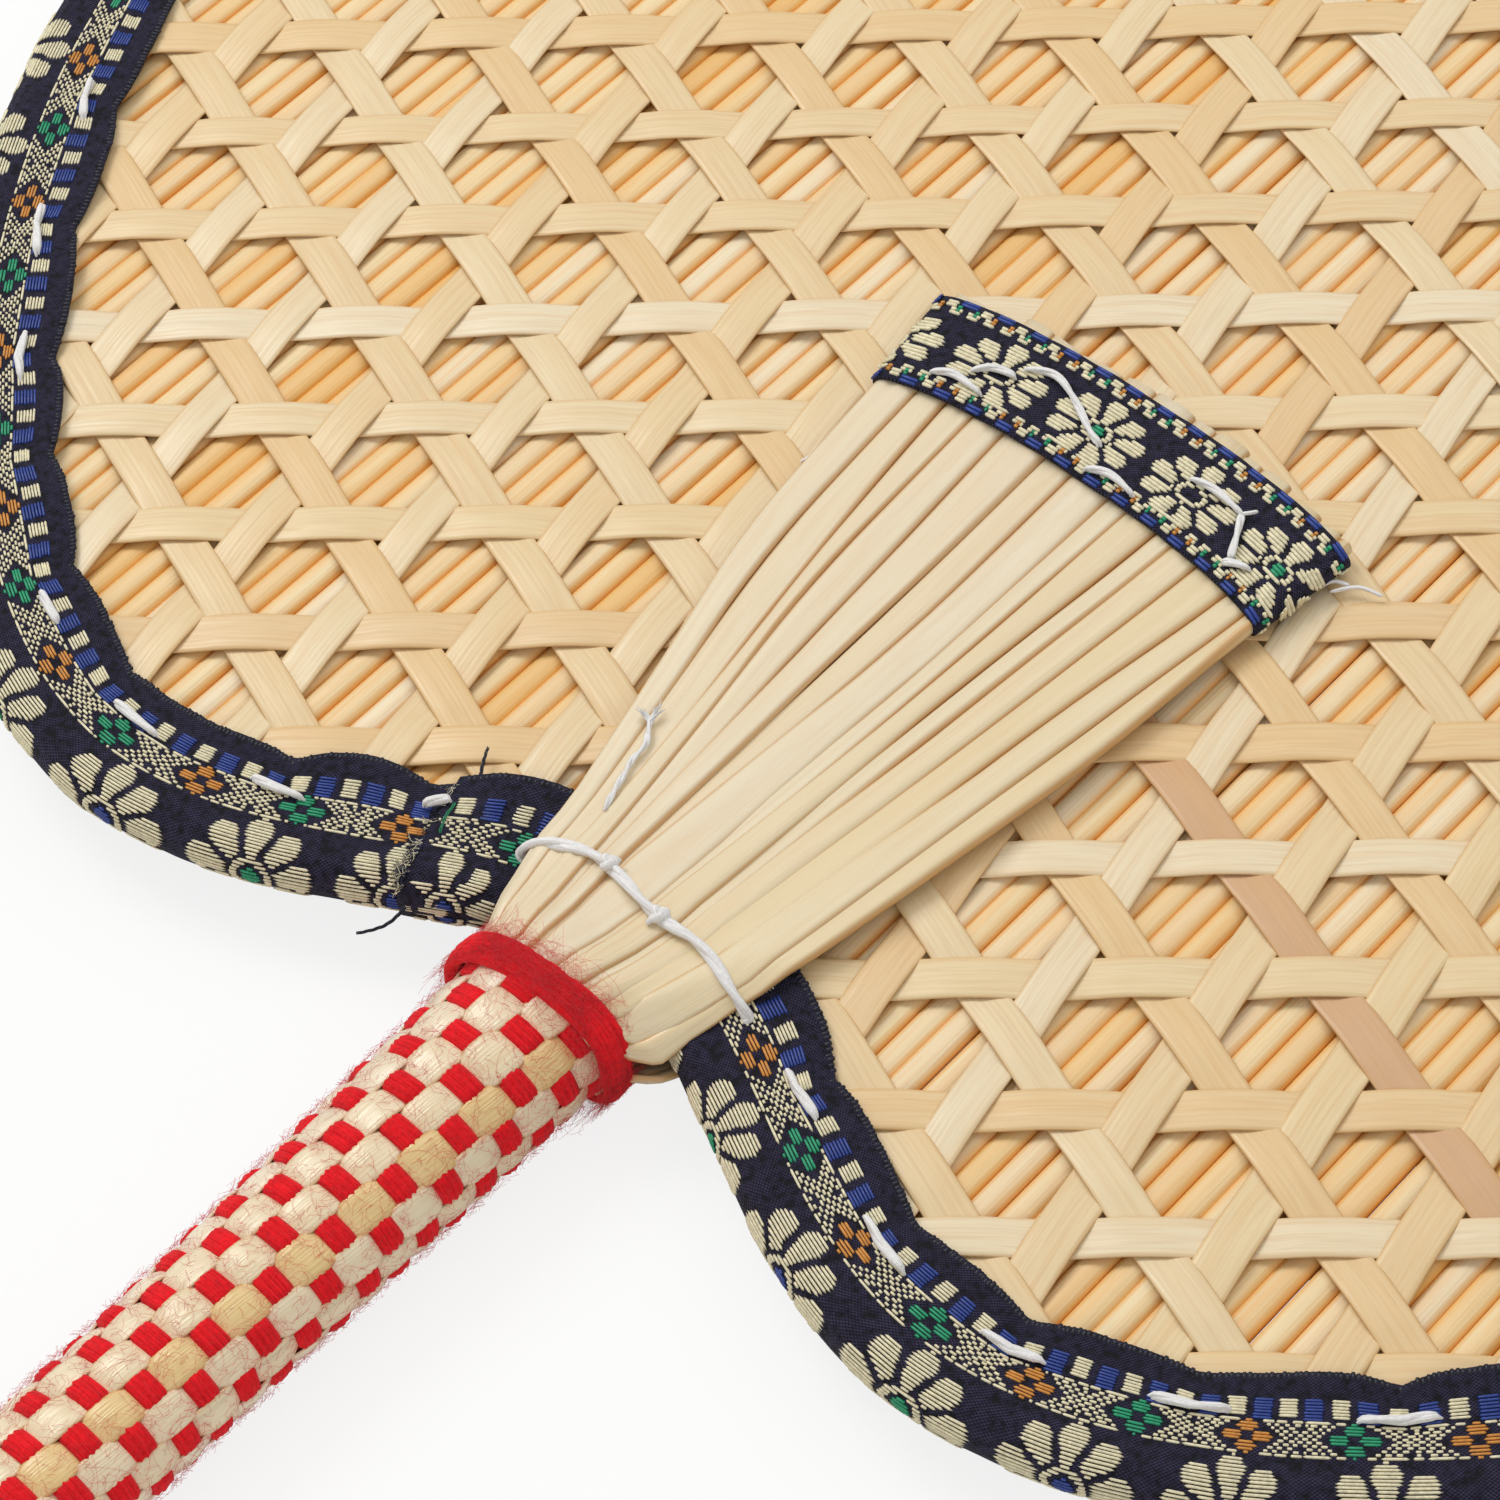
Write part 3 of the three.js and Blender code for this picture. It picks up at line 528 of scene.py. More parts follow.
SPRAY_STRAW_HALF = 2.1 * MM
SPRAY_SHADES = ((0.0, "#E9DBBB"), (0.35, "#E6D2A8"), (0.7, "#EADCC0"), (1.0, "#E4C88E"))
# Its warm second colour is painted shade in the seams between the straws.
wheat_straw = strand_material(
    "wheat_straw", SPRAY_SHADES, "#D9B67C", "#CF9344", 0.8 * SPRAY_STRAW_HALF, SPRAY_STRAW_HALF,
    fibre=0.2, edge=0.7, streak=0.14, roughness=0.28, relief=0.22, coat=0.35, vein=0.45 * MM, slit=0.06)
print("finishes:", bamboo_splint.name, mat_straw.name, wheat_straw.name)

# %% [markdown]
# ## The hexagonal weave
# Three sets of splints cross at 60 degrees and lock each other: each set passes under the next one and over
# the one after it. That is a rule, so the tree lifts every point of a splint by its distance from the
# splints that cross it. The crossing is skewed as on the real thing, because the distance is measured
# across the other splint.

# %% Weave tree
net_low, net_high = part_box("front_weave")
NET_MIDDLE = (net_low.z + net_high.z) / 2
HEX_SPACING = 18.7 * MM
ROW = HEX_SPACING * math.sqrt(3) / 2
HEX_CENTRE = (-2.9 * MM, COLLAR_Y + 52.7 * MM, 0)
FIRST_SPLINT = math.radians(39.5)
SPLINT_HALF_THICK = 0.22 * MM
SPLINT_LIFT = 0.3 * MM
CROSSING_FLAT = 2.3 * MM        # from a crossing splint's middle, the stretch that lies level
CROSSING_END = 5.9 * MM         # where the lift has gone
WEAVE_SOCKETS = SWEEP_SOCKETS + [
    ("Hexagon centre", "NodeSocketVector"), ("Row spacing", FLOAT), ("Lift", FLOAT), ("Level until", FLOAT),
    ("Lift ends", FLOAT), ("Across next set", "NodeSocketVector"), ("Across last set", "NodeSocketVector")]


def weave_tree():
    """The sweep, then the lift over and under the two crossing sets."""
    tree, given = new_tree("hexagonal_weave", WEAVE_SOCKETS)
    group = put(tree, "GeometryNodeGroup", node_tree=SWEEP)
    tree.links.new(given.outputs["Geometry"], group.inputs["Geometry"])
    for label, _ in SWEEP_SOCKETS:
        tree.links.new(given.outputs[label], group.inputs[label])
    place = put(tree, "GeometryNodeInputPosition")
    from_centre = put(tree, "ShaderNodeVectorMath", {0: place, 1: given.outputs["Hexagon centre"]},
                      operation="SUBTRACT")
    lifts = []
    for label in ("Across next set", "Across last set"):
        across = put(tree, "ShaderNodeVectorMath", {0: from_centre, 1: given.outputs[label]},
                     operation="DOT_PRODUCT")
        rows = put(tree, "ShaderNodeMath", {0: across.outputs["Value"], 1: given.outputs["Row spacing"]},
                   operation="DIVIDE")
        part = put(tree, "ShaderNodeMath", {0: rows}, operation="FRACT")
        centred = put(tree, "ShaderNodeMath", {0: part, 1: 0.5}, operation="SUBTRACT")
        share = put(tree, "ShaderNodeMath", {0: centred}, operation="ABSOLUTE")
        distance = put(tree, "ShaderNodeMath", {0: share, 1: given.outputs["Row spacing"]},
                       operation="MULTIPLY")
        lifts.append(put(tree, "ShaderNodeMapRange",
                         {"Value": distance, "From Min": given.outputs["Level until"],
                          "From Max": given.outputs["Lift ends"], "To Min": 1.0, "To Max": 0.0},
                         interpolation_type="SMOOTHSTEP"))
    balance = put(tree, "ShaderNodeMath", {0: lifts[1], 1: lifts[0]}, operation="SUBTRACT")
    rise = put(tree, "ShaderNodeMath", {0: balance, 1: given.outputs["Lift"]}, operation="MULTIPLY")
    offset = put(tree, "ShaderNodeCombineXYZ", {2: rise})
    lifted = put(tree, "GeometryNodeSetPosition", {"Geometry": group, "Offset": offset})
    return end_tree(tree, given, lifted)


WEAVE = weave_tree()

# %% Splint lines
SPLINT_TRIM = 3.9 * MM          # how far in from the blade's edge the splints are cut, beneath the ribbon
STATION = 1.9 * MM
SLIP = 0.28 * MM                # how far a splint strays sideways
STRAY = 0.0022                  # and how far it turns, in radians
LEAST_SPLINT = 12 * MM
ROWS_OUT = 20                   # rows laid on each side of the measured hexagon, more than the blade holds
GIRTH_SPREAD = 0.035            # how much the splints' sizes differ
NET_SEEDS = {1: 20, -1: 70}
BROWN_SET = 2                   # one splint is pink brown: its set and its row from the measured hexagon
BROWN_ROW = -2
SPLICE_RISE = 50 * MM           # it is spliced to a pale one beneath the spray, this far above the collar
BROWN_SHADE = 1.0
LIGHT_SHADE = 0.96              # the others lie between 0 and this
LEFT_SHEEN_AND_SPLICE_SHADE = 0.6


def inset_outline(distance, count=360):
    """The blade's outline moved in."""
    place, inward = edge_at(np.linspace(0, EDGE_LENGTH, count, endpoint=False))
    return place + inward * distance


def runs_inside(points, polygon, least):
    """The stretches of a line of points that lie inside a polygon."""
    kept = inside(points, polygon)
    cuts = np.flatnonzero(np.diff(kept.astype(int))) + 1
    return [part for part, ok in zip(np.split(points, cuts), np.split(kept, cuts))
            if ok[0] and np.linalg.norm(part[-1] - part[0]) > least]


def splint_lines(family, rng):
    """The splints of one set, with a shade for each."""
    angle = FIRST_SPLINT + family * math.pi / 3
    along = np.array([math.cos(angle), math.sin(angle)])
    across = np.array([-along[1], along[0]])
    border = inset_outline(SPLINT_TRIM)
    reach = ribbon_high.y - ribbon_low.y
    travel = np.arange(-reach, reach, STATION)
    centre = np.array(HEX_CENTRE[:2])
    lines, tints = [], []
    for row in range(-ROWS_OUT, ROWS_OUT):
        slip = rng.normal(0, SLIP)
        stray = rng.normal(0, STRAY)
        shade = rng.uniform(0, LIGHT_SHADE)
        if (family, row) == (BROWN_SET, BROWN_ROW):
            shade = BROWN_SHADE
        offset = (row + 0.5) * ROW + slip + stray * travel
        points = centre + along * travel[:, None] + across * offset[:, None]
        for part in runs_inside(points, border, LEAST_SPLINT):
            pieces = [part]
            if shade == BROWN_SHADE:
                cut = int(np.argmin(np.hypot(part[:, 0], part[:, 1] - COLLAR_Y - SPLICE_RISE)))
                pieces = [part[:cut + 1], part[cut:]]
            for piece in pieces:
                lines.append(np.column_stack([piece, np.zeros(len(piece))]))
                # Splints on the left half keep to the paler shades: a painted sheen on the key lamp's side.
                # This also turns the brown splint's spliced piece there pale.
                tints.append(shade if piece[:, 0].mean() > 0 else min(shade, LEFT_SHEEN_AND_SPLICE_SHADE))
    return lines, np.array(tints)


def across_set(family):
    """The direction square to a set's splints."""
    angle = FIRST_SPLINT + family * math.pi / 3
    return (-math.sin(angle), math.cos(angle), 0)


def place_on_face(piece, height, face):
    """Lifts a flat piece to its height in front, or mirrors it to the back and turns its faces out again."""
    mesh = piece.data
    mesh.transform(Matrix.Translation((0, 0, height)))
    if face < 0:
        mesh.transform(Matrix.Scale(-1, 4, (0, 0, 1)))
        mesh.flip_normals()


def splint_net(side, face):
    """The three sets of one net. face is 1 in front and -1 behind."""
    for family in range(3):
        rng = np.random.default_rng(NET_SEEDS[face] + family)
        lines, tints = splint_lines(family, rng)
        girths = [1 + rng.normal(0, GIRTH_SPREAD) for _ in lines]
        source = lines_mesh("splints", lines, tints, girths)
        piece = run_tree(f"{side}_splints_{family + 1}", source, WEAVE, {
            "Half width": SPLINT_HALF_WIDTH, "Half height": SPLINT_HALF_THICK, "Squareness": 4.5, "Sides": 12,
            "Flat": True, "Material": bamboo_splint, "Hexagon centre": HEX_CENTRE, "Row spacing": ROW,
            "Lift": SPLINT_LIFT, "Level until": CROSSING_FLAT, "Lift ends": CROSSING_END,
            "Across next set": across_set(family + 1), "Across last set": across_set(family + 2)})
        place_on_face(piece, NET_MIDDLE, face)
        settle(piece, "splint", *([f"{side}_weave"] if family == 0 else []))


splint_net("front", 1)
splint_net("back", -1)

# %% [markdown]
# ## The straw mat
# Behind the holes of the weave lies a mat of straws, side by side along the handle's direction. Each is a
# dried hollow stem, a little flattened. Where two meet, the groove is painted a deeper orange: shade, warmed
# by the light that comes through the stems.

# %% Straw mat
mat_low, mat_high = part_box("straw_core")
MAT_PITCH = 3.3 * MM
MAT_HALF_THICK = mat_high.z - 0.05 * MM
MAT_TRIM = 1.9 * MM
MAT_STATION = 9 * MM
MAT_WANDER = 0.1 * MM           # how far a straw strays sideways
MAT_UNEVEN = 0.1                # mm, how far it lies above or below the others
MAT_GIRTHS = (0.93, 1.0)


def mat_lines(rng):
    """The straws that fit in the blade, with a shade and a girth for each."""
    border = inset_outline(MAT_TRIM)
    travel = np.arange(mat_low.y, mat_high.y, MAT_STATION)
    count = int(mat_high.x / MAT_PITCH)
    lines, tints, girths = [], [], []
    for number in range(-count, count + 1):
        sway = np.cumsum(rng.normal(0, 0.3, len(travel)))
        x = number * MAT_PITCH + rng.normal(0, MAT_WANDER) + MAT_WANDER * (sway - sway.mean()) * 0.5
        z = rng.normal(0, MAT_UNEVEN) * MM
        points = np.column_stack([x, travel])
        for part in runs_inside(points, border, LEAST_SPLINT):
            lines.append(np.column_stack([part, np.full(len(part), z)]))
            tints.append(rng.uniform(0, 1))
            girths.append(rng.uniform(*MAT_GIRTHS))
    return lines, np.array(tints), girths


lines, tints, girths = mat_lines(np.random.default_rng(5))
mat = sweep("straw_mat", lines, MAT_STRAW_HALF, MAT_HALF_THICK, mat_straw, tints, girths, sides=12,
            squareness=2.4, flat=True)
settle(mat, "straw", "straw_core")
print(len(lines), "straws in the mat")

# %% [markdown]
# ## The folded ribbon: its cloth
# The blade's rim is a woven jacquard ribbon, folded over the edge and sewn with running stitches. The cloth
# is one function: a place `u` along the ribbon and `w` across it, with the fold at w = 0, gives a point in
# space. The cloth, its pattern and its stitches all ask this function, so they stay together over every
# wave.

# %% Ribbon surface
RIBBON_HEIGHT = 2.9 * MM        # the cloth's middle above the blade's middle plane
FOLD_REACH = 2.5 * MM           # how far in from the edge the rounded fold ends
FOLD_CLOTH = 4.25 * MM          # cloth used by half of the fold
RIBBON_HALF = 18.15 * MM        # cloth from the fold to the selvedge
ROW_OF_ARC = 8 * MM             # the cloth keeps its own length at this distance in from the edge
STITCH_PITCH = 23.2 * MM
FIRST_STITCH = 3.0 * MM
SEEN_PULLS = (-118, -98, -74.8, -42, -24.5)     # mm from the notch: stitches that pull the selvedge in
LAP_END = 24.5 * MM             # the upper end of the lap, left of the notch
LAP_LENGTH = 7 * MM
LAP_RAMP = 4 * MM
LAP_LIFT = 0.75 * MM
LAP_FLARE = 1.8 * MM            # how much further in the lap's upper end reaches, just past its corner
LAP_CORNER = 14.5 * MM          # where that flare is widest, left of the notch
FLARE_WIDTH = 7 * MM
CLOTH_THICK = 0.5 * MM
WAVE_START = 9 * MM             # from the fold: nearer than this the cloth lies smooth
WAVE_IN = 1.95                  # mm, how far the selvedge waves in between two stitches
WAVE_SHIFT = 2.15               # mm, how far the stitches hold it out
LOOSE_RISE = 0.85 * MM          # how far it lifts off the blade there
LOWEST = -0.12 * MM

ARC_U = distance_along(closed + EDGE_IN * ROW_OF_ARC)
CLOTH_LENGTH = ARC_U[-1]


def cloth_from_edge(s):
    """The cloth's own length coordinate for distances along the edge, left of the notch below zero."""
    turns = np.floor(np.asarray(s) / EDGE_LENGTH)
    return turns * CLOTH_LENGTH + np.interp(s - turns * EDGE_LENGTH, EDGE_S, ARC_U)


def edge_from_cloth(u):
    """The other way round."""
    turns = np.floor(np.asarray(u) / CLOTH_LENGTH)
    return turns * EDGE_LENGTH + np.interp(u - turns * CLOTH_LENGTH, ARC_U, EDGE_S)


def soft_noise(x, seed, scale):
    """Slow smooth noise of one number, between about -1 and 1."""
    rng = np.random.default_rng(seed)
    phases = rng.uniform(0, 2 * math.pi, 5)
    return sum(np.sin(x / scale * rate + phase) * weight for rate, phase, weight in
               zip((1.0, 1.73, 2.41, 3.7, 5.3), phases, (0.42, 0.3, 0.22, 0.14, 0.1)))


def lap_lift(s):
    """How far the upper end of the lap is lifted by the lower end beneath it."""
    start, end = -LAP_END, -LAP_END + LAP_LENGTH
    return LAP_LIFT * np.clip(1 - (s - end) / LAP_RAMP, 0, 1) * (s >= start - LAP_RAMP) * (s < end + LAP_RAMP)


left_pulls = EDGE_LENGTH + np.array(SEEN_PULLS) * MM
even_pulls = np.arange(FIRST_STITCH, left_pulls[0] - STITCH_PITCH / 2, STITCH_PITCH)
PULLS = np.concatenate([left_pulls[-2:] - EDGE_LENGTH, even_pulls, left_pulls, [EDGE_LENGTH + FIRST_STITCH]])


def ribbon_place(u, w, rise=0.0):
    """Points of the ribbon's cloth, lifted off it by rise."""
    u, w = np.broadcast_arrays(np.asarray(u, float), np.asarray(w, float))
    s = edge_from_cloth(u)
    edge, inward = edge_at(s)
    size, side = np.abs(w), np.where(w < 0, -1.0, 1.0)
    bend = np.clip(size / FOLD_CLOTH, 0, 1) * math.pi / 2
    flat = np.clip(size - FOLD_CLOTH, 0, None)
    hump = np.abs(np.sin(math.pi * np.interp(s, PULLS, np.arange(len(PULLS))))) ** 0.7
    hump = hump * (0.8 + 0.35 * soft_noise(s, 3, 19 * MM))
    near_edge = np.clip((size - WAVE_START) / (RIBBON_HALF - WAVE_START), 0, 1)
    selvedge = near_edge * (WAVE_IN * hump - WAVE_SHIFT + 0.15 * soft_noise(s, 5, 4 * MM)) * MM
    selvedge = selvedge + near_edge * LAP_FLARE * np.exp(-((s + LAP_CORNER) / FLARE_WIDTH) ** 2)
    inset = FOLD_REACH * (1 - np.cos(bend)) + flat + selvedge
    inset = inset + 0.22 * MM * soft_noise(s, 8, 6 * MM) * (1 - np.clip(size / WAVE_START, 0, 1))
    bulge = 0.16 * MM * soft_noise(s + 3 * w, 11, 7 * MM) * np.sin(bend)
    lift = np.where(s > EDGE_LENGTH / 2, 0, lap_lift(s))      # the lap's lower end lies flat
    loose = near_edge ** 2 * LOOSE_RISE * (hump - 0.35) + lift
    height = side * (RIBBON_HEIGHT * np.sin(bend) + bulge + np.clip(loose, LOWEST, None))
    out_in = -np.cos(bend) * (size < FOLD_CLOTH)
    out_up = side * np.where(size < FOLD_CLOTH, np.sin(bend), 1.0)
    normal = np.concatenate([inward * out_in[..., None], out_up[..., None]], -1)
    normal /= np.linalg.norm(normal, axis=-1, keepdims=True)
    point = np.concatenate([edge + inward * inset[..., None], height[..., None]], -1)
    return point + normal * np.broadcast_to(rise, u.shape)[..., None]


def facing(place, u, w):
    """The way that a cloth faces, where place is the cloth's own function."""
    return place(u, w, 1.0) - place(u, w)


def smooth_mesh(name, points, faces):
    mesh = bpy.data.meshes.new(name)
    mesh.from_pydata(points, [], faces)
    mesh.polygons.foreach_set("use_smooth", [True] * len(mesh.polygons))
    return mesh


def cloth_sheet(name, points, uv):
    """A cloth from a grid of points and its own map, made as thick as it is with Solidify."""
    rows, columns = points.shape[:2]
    index = np.arange(rows * columns).reshape(rows, columns)
    faces = np.stack([index[:-1, :-1], index[:-1, 1:], index[1:, 1:], index[1:, :-1]], -1).reshape(-1, 4)
    mesh = smooth_mesh(name, points.reshape(-1, 3).tolist(), faces.tolist())
    layer = mesh.uv_layers.new(name="cloth")
    layer.data.foreach_set("uv", uv.reshape(-1, 2)[faces.ravel()].astype(np.float32).ravel())
    mesh.materials.append(navy_ribbon_cloth)
    piece = link_object(name, mesh)
    solidify = piece.modifiers.new("thickness", "SOLIDIFY")
    solidify.thickness = CLOTH_THICK
    solidify.offset = 0.0
    thick = evaluated_mesh(piece)
    piece.modifiers.clear()
    piece.data = thick
    return piece


# %% [markdown]
# The ground of the ribbon is a fine navy cloth. Its threads are finer than the picture can show one by one,
# so the bump is drawn a little coarser than life: warp lines along the ribbon, with the weft as a finer
# beat.

# %% Navy ribbon cloth
WARP_PITCH = 0.41 * MM
WEFT_PITCH = 0.52 * MM


def object_noise(tree, scale, detail):
    """Noise in the piece's own space."""
    place = put(tree, "ShaderNodeTexCoord").outputs["Object"]
    return put(tree, "ShaderNodeTexNoise", {"Vector": place, "Scale": scale, "Detail": detail})


def ground_cloth():
    material, tree = new_material("navy_ribbon_cloth")
    place = put(tree, "ShaderNodeUVMap", uv_map="cloth")
    axes = put(tree, "ShaderNodeSeparateXYZ", {0: place})
    waves = []
    for axis, pitch in (("X", WEFT_PITCH), ("Y", WARP_PITCH)):
        angle = put(tree, "ShaderNodeMath", {0: axes.outputs[axis], 1: 2 * math.pi / pitch},
                    operation="MULTIPLY")
        waves.append(put(tree, "ShaderNodeMath", {0: angle}, operation="SINE"))
    weave = put(tree, "ShaderNodeMath", {0: waves[0], 1: waves[1]}, operation="MULTIPLY")
    height = put(tree, "ShaderNodeMapRange", {"Value": weave, "From Min": -1.0})
    cloud = put(tree, "ShaderNodeMapRange",
                {"Value": object_noise(tree, 1100.0, 3.0), "From Min": 0.34, "From Max": 0.66})
    thread_shade_and_mottle = put(tree, "ShaderNodeMath", {0: height, 1: cloud}, operation="MULTIPLY")
    # The colour follows the relief times noise: painted shade between the threads, painted light on their
    # tops, mottled.
    colour = put(tree, "ShaderNodeMixRGB", {0: thread_shade_and_mottle, 1: linear("#0A090F"), 2: linear("#4A4468")})
    bump = put(tree, "ShaderNodeBump", {"Height": thread_shade_and_mottle, "Strength": 0.9, "Distance": 0.5 * MM})
    return finish_material(material, tree, {
        "Base Color": colour, "Roughness": 0.82, "Normal": bump, "Specular IOR Level": 0.25,
        "Sheen Weight": 0.03, "Sheen Roughness": 0.4})


navy_ribbon_cloth = ground_cloth()

# %% Ribbon cloth
FREE_END_SLANT = 3 * MM         # how much further on the lap's free end lies at the selvedge than at the fold


def free_end_slant(w):
    return FREE_END_SLANT * np.abs(w) / RIBBON_HALF


SLANT_FADE = 8 * MM
CLOTH_STEP = 1.3 * MM
CLOTH_ACROSS = 31
u_start = cloth_from_edge(-LAP_END)
u_end = cloth_from_edge(EDGE_LENGTH - LAP_END + LAP_LENGTH)
u_line = np.linspace(u_start, u_end, int((u_end - u_start) / CLOTH_STEP))
w_line = RIBBON_HALF * np.linspace(-1, 1, CLOTH_ACROSS)
u_grid, w_grid = np.meshgrid(u_line, w_line, indexing="ij")
u_grid = u_grid + free_end_slant(w_grid) * np.clip(1 - (u_grid - u_start) / SLANT_FADE, 0, 1)
ribbon_cloth = cloth_sheet("ribbon_cloth", ribbon_place(u_grid, w_grid), np.stack([u_grid, w_grid], -1))
settle(ribbon_cloth, "ribbon", "edge_ribbon")

# %% [markdown]
# ## The ribbon's pattern, float by float
# In a jacquard cloth a figure is drawn by threads that float over the ground. Here every float runs along
# the ribbon. Each figure is a small shape function; rows of thread cross it, and wherever a row is inside
# the shape, one float is laid. A tree then puts a small tapered thread on every float.

# %% Float tree
FLOAT_SECTION = ((-1.0, -0.5), (-0.58, 0.64), (0.58, 0.64), (1.0, -0.5))    # across and up, in radii
FLOAT_RINGS = (-0.37, 0.37)     # the full stretch, as a share of the length


def float_thread():
    """A low thread of length 1 and radius 1, pointed at its ends. There are thousands, so it is simple."""
    points = [(x, y, z) for x in FLOAT_RINGS for y, z in FLOAT_SECTION] + [(-0.5, 0, -0.05), (0.5, 0, -0.05)]
    faces = []
    for a in range(4):
        b = (a + 1) % 4
        faces += [(b, a, a + 4, b + 4), (8, a, b), (9, b + 4, a + 4)]
    return link_object("float_thread", smooth_mesh("float_thread", points, faces))


def float_tree():
    tree, given = new_tree("lay_floats", [("Thread", "NodeSocketObject"), ("Thickness", FLOAT),
                                          ("Material", "NodeSocketMaterial")])
    points = put(tree, "GeometryNodeMeshToPoints", {"Mesh": given.outputs["Geometry"]})
    face, run = (named_value(tree, name, "FLOAT_VECTOR") for name in ("face", "run"))
    turned = put(tree, "FunctionNodeAxesToRotation", {"Primary Axis": face, "Secondary Axis": run},
                 primary_axis="Z", secondary_axis="X")
    size = put(tree, "ShaderNodeCombineXYZ", {0: named_value(tree, "reach"), 1: given.outputs["Thickness"],
                                              2: given.outputs["Thickness"]})
    thread = put(tree, "GeometryNodeObjectInfo", {"Object": given.outputs["Thread"]})
    laid = put(tree, "GeometryNodeInstanceOnPoints",
               {"Points": points, "Instance": thread.outputs["Geometry"], "Rotation": turned, "Scale": size})
    return end_tree(tree, given, laid)


FLOATS = float_tree()
FLOAT_RADIUS = 0.175 * MM

# %% Rayon floats
DYES = {"cream": (0, "#ECE2BE"), "blue": (1, "#26408F"), "green": (2, "#1E9A6C"), "orange": (3, "#D48E3A"),
        "navy": (4, "#121425")}


def mottled_shade(tree, colour, scale, darkest, lightest):
    """A colour that is a little darker and lighter from place to place."""
    shade = put(tree, "ShaderNodeMapRange", {"Value": object_noise(tree, scale, 2.0), "From Min": 0.3,
                                             "From Max": 0.7, "To Min": darkest, "To Max": lightest})
    return put(tree, "ShaderNodeVectorMath", {0: colour, "Scale": shade}, operation="SCALE")


def floats_material():
    """Rayon: a smooth shiny thread, in five dyes. Tiny changes of shade keep the floats apart."""
    material, tree = new_material("rayon_floats")
    colour = linear(DYES["cream"][1])
    for number, text in list(DYES.values())[1:]:
        above = put(tree, "ShaderNodeMath", {0: kept_value(tree, "dye"), 1: number - 0.5},
                    operation="GREATER_THAN")
        colour = put(tree, "ShaderNodeMixRGB", {0: above, 1: colour, 2: linear(text)})
    shaded = mottled_shade(tree, colour, 1800.0, 0.78, 1.08)
    return finish_material(material, tree, {"Base Color": shaded, "Roughness": 0.42, "IOR": 1.5})


rayon_floats = floats_material()


def lay_floats(name, middles, runs, faces, reaches, dyes, radius=FLOAT_RADIUS):
    """One piece of floats from their middles, directions, the cloth's facing, lengths and dyes."""
    mesh = bpy.data.meshes.new(name + "_points")
    mesh.from_pydata(middles.tolist(), [], [])
    keep_value(mesh, "run", "FLOAT_VECTOR", runs)
    keep_value(mesh, "face", "FLOAT_VECTOR", faces)
    keep_value(mesh, "reach", "FLOAT", reaches)
    keep_value(mesh, "dye", "FLOAT", dyes)
    thread = float_thread()
    piece = run_tree(name, mesh, FLOATS, {"Thread": thread, "Thickness": radius, "Material": rayon_floats})
    bpy.data.objects.remove(thread)
    return piece


def drawn_floats(shape, u_low, u_high, rows, step=0.16 * MM, shortest=0.3 * MM):
    """Rows of thread across a figure: (u start, u end, row, dye) wherever shape(u, w) gives a dye."""
    u = np.arange(u_low, u_high, step)
    found = []
    for w in rows:
        dye = shape(u, np.full_like(u, w))
        changes = np.flatnonzero(np.diff(dye)) + 1
        for part, start in zip(np.split(dye, changes), [0, *changes]):
            if part[0] >= 0 and len(part) * step > shortest:
                found.append((u[start], u[start] + len(part) * step, w, part[0]))
    return found


# %% [markdown]
# The ribbon repeats a small flower on a chain of crossed lines, a row of blue and cream blocks beside it,
# and large daisies that the fold cuts in half. The flowers stand where the photograph shows them, and
# evenly elsewhere, because cloth that is eased round a curve stretches a little here and there.

# %% Ribbon pattern
# The number of a flower, and its place in mm along the edge from the notch, and before the notch.
SEEN_FLOWERS = {0: -12.9, 3: 20.7, 4: 33.4, 5: 47.5, 6: 62.1, 7: 76.9, 8: 90.0, 9: 102.1, 10: 113.6}
SEEN_BEFORE_END = {63: 188.4, 64: 175.5, 71: 82.5, 72: 67.5, 73: 52.3, 74: 38.2, 75: 26.1}
FLOWER_PITCH = 12.3 * MM
CHAIN_MIDDLE = 9.65 * MM
CHAIN_HALF = 2.35 * MM
BLOCKS_MIDDLE = 13.45 * MM
BLOCKS_HALF = 1.5 * MM
DAISY_FIRST = 4.85              # in flowers from the first one
DAISY_STEP = 1.3506
DAISY_RADIUS = 7.2 * MM
DAISY_PETALS = 9
PETAL_GAP = 0.45 * MM
PETAL_ROOT = 0.37               # as a share of a daisy's radius, and so are the next three
RING_OUTSIDE = 0.32
RING_INSIDE = 0.21
HEART_SIZE = 0.15
# The small flower's petals: place from its middle and half length, in mm.
SMALL_PETALS = ((0, 1.3, 1.2), (0, -1.3, 1.2), (-1.7, 0, 1.15), (1.7, 0, 1.15))
SMALL_PETAL_HALF = 0.78 * MM
BARE_ROWS = 6                   # warp threads next to the selvedge that carry no figure
END_MARGIN = 0.4 * MM           # bare cloth at the free end
FLOAT_SPREAD = 0.06             # mm, how unevenly the floats end and lie
places = [(cloth_from_edge(s * MM), k) for k, s in SEEN_FLOWERS.items()]
places += [(cloth_from_edge(EDGE_LENGTH - s * MM), k) for k, s in SEEN_BEFORE_END.items()]
FLOWER_U, FLOWER_NUMBER = map(np.array, zip(*places))


def flower_count(u):
    """How many flowers lie before u, with the share of the next one."""
    inner = np.interp(u, FLOWER_U, FLOWER_NUMBER)
    before = (u - FLOWER_U[0]) / FLOWER_PITCH
    after = FLOWER_NUMBER[-1] + (u - FLOWER_U[-1]) / FLOWER_PITCH
    return np.where(u < FLOWER_U[0], before, np.where(u > FLOWER_U[-1], after, inner))


def in_petal(x, y, long, wide):
    """True in an oval petal, for places from its middle."""
    return (x / long) ** 2 + (y / wide) ** 2 < 1


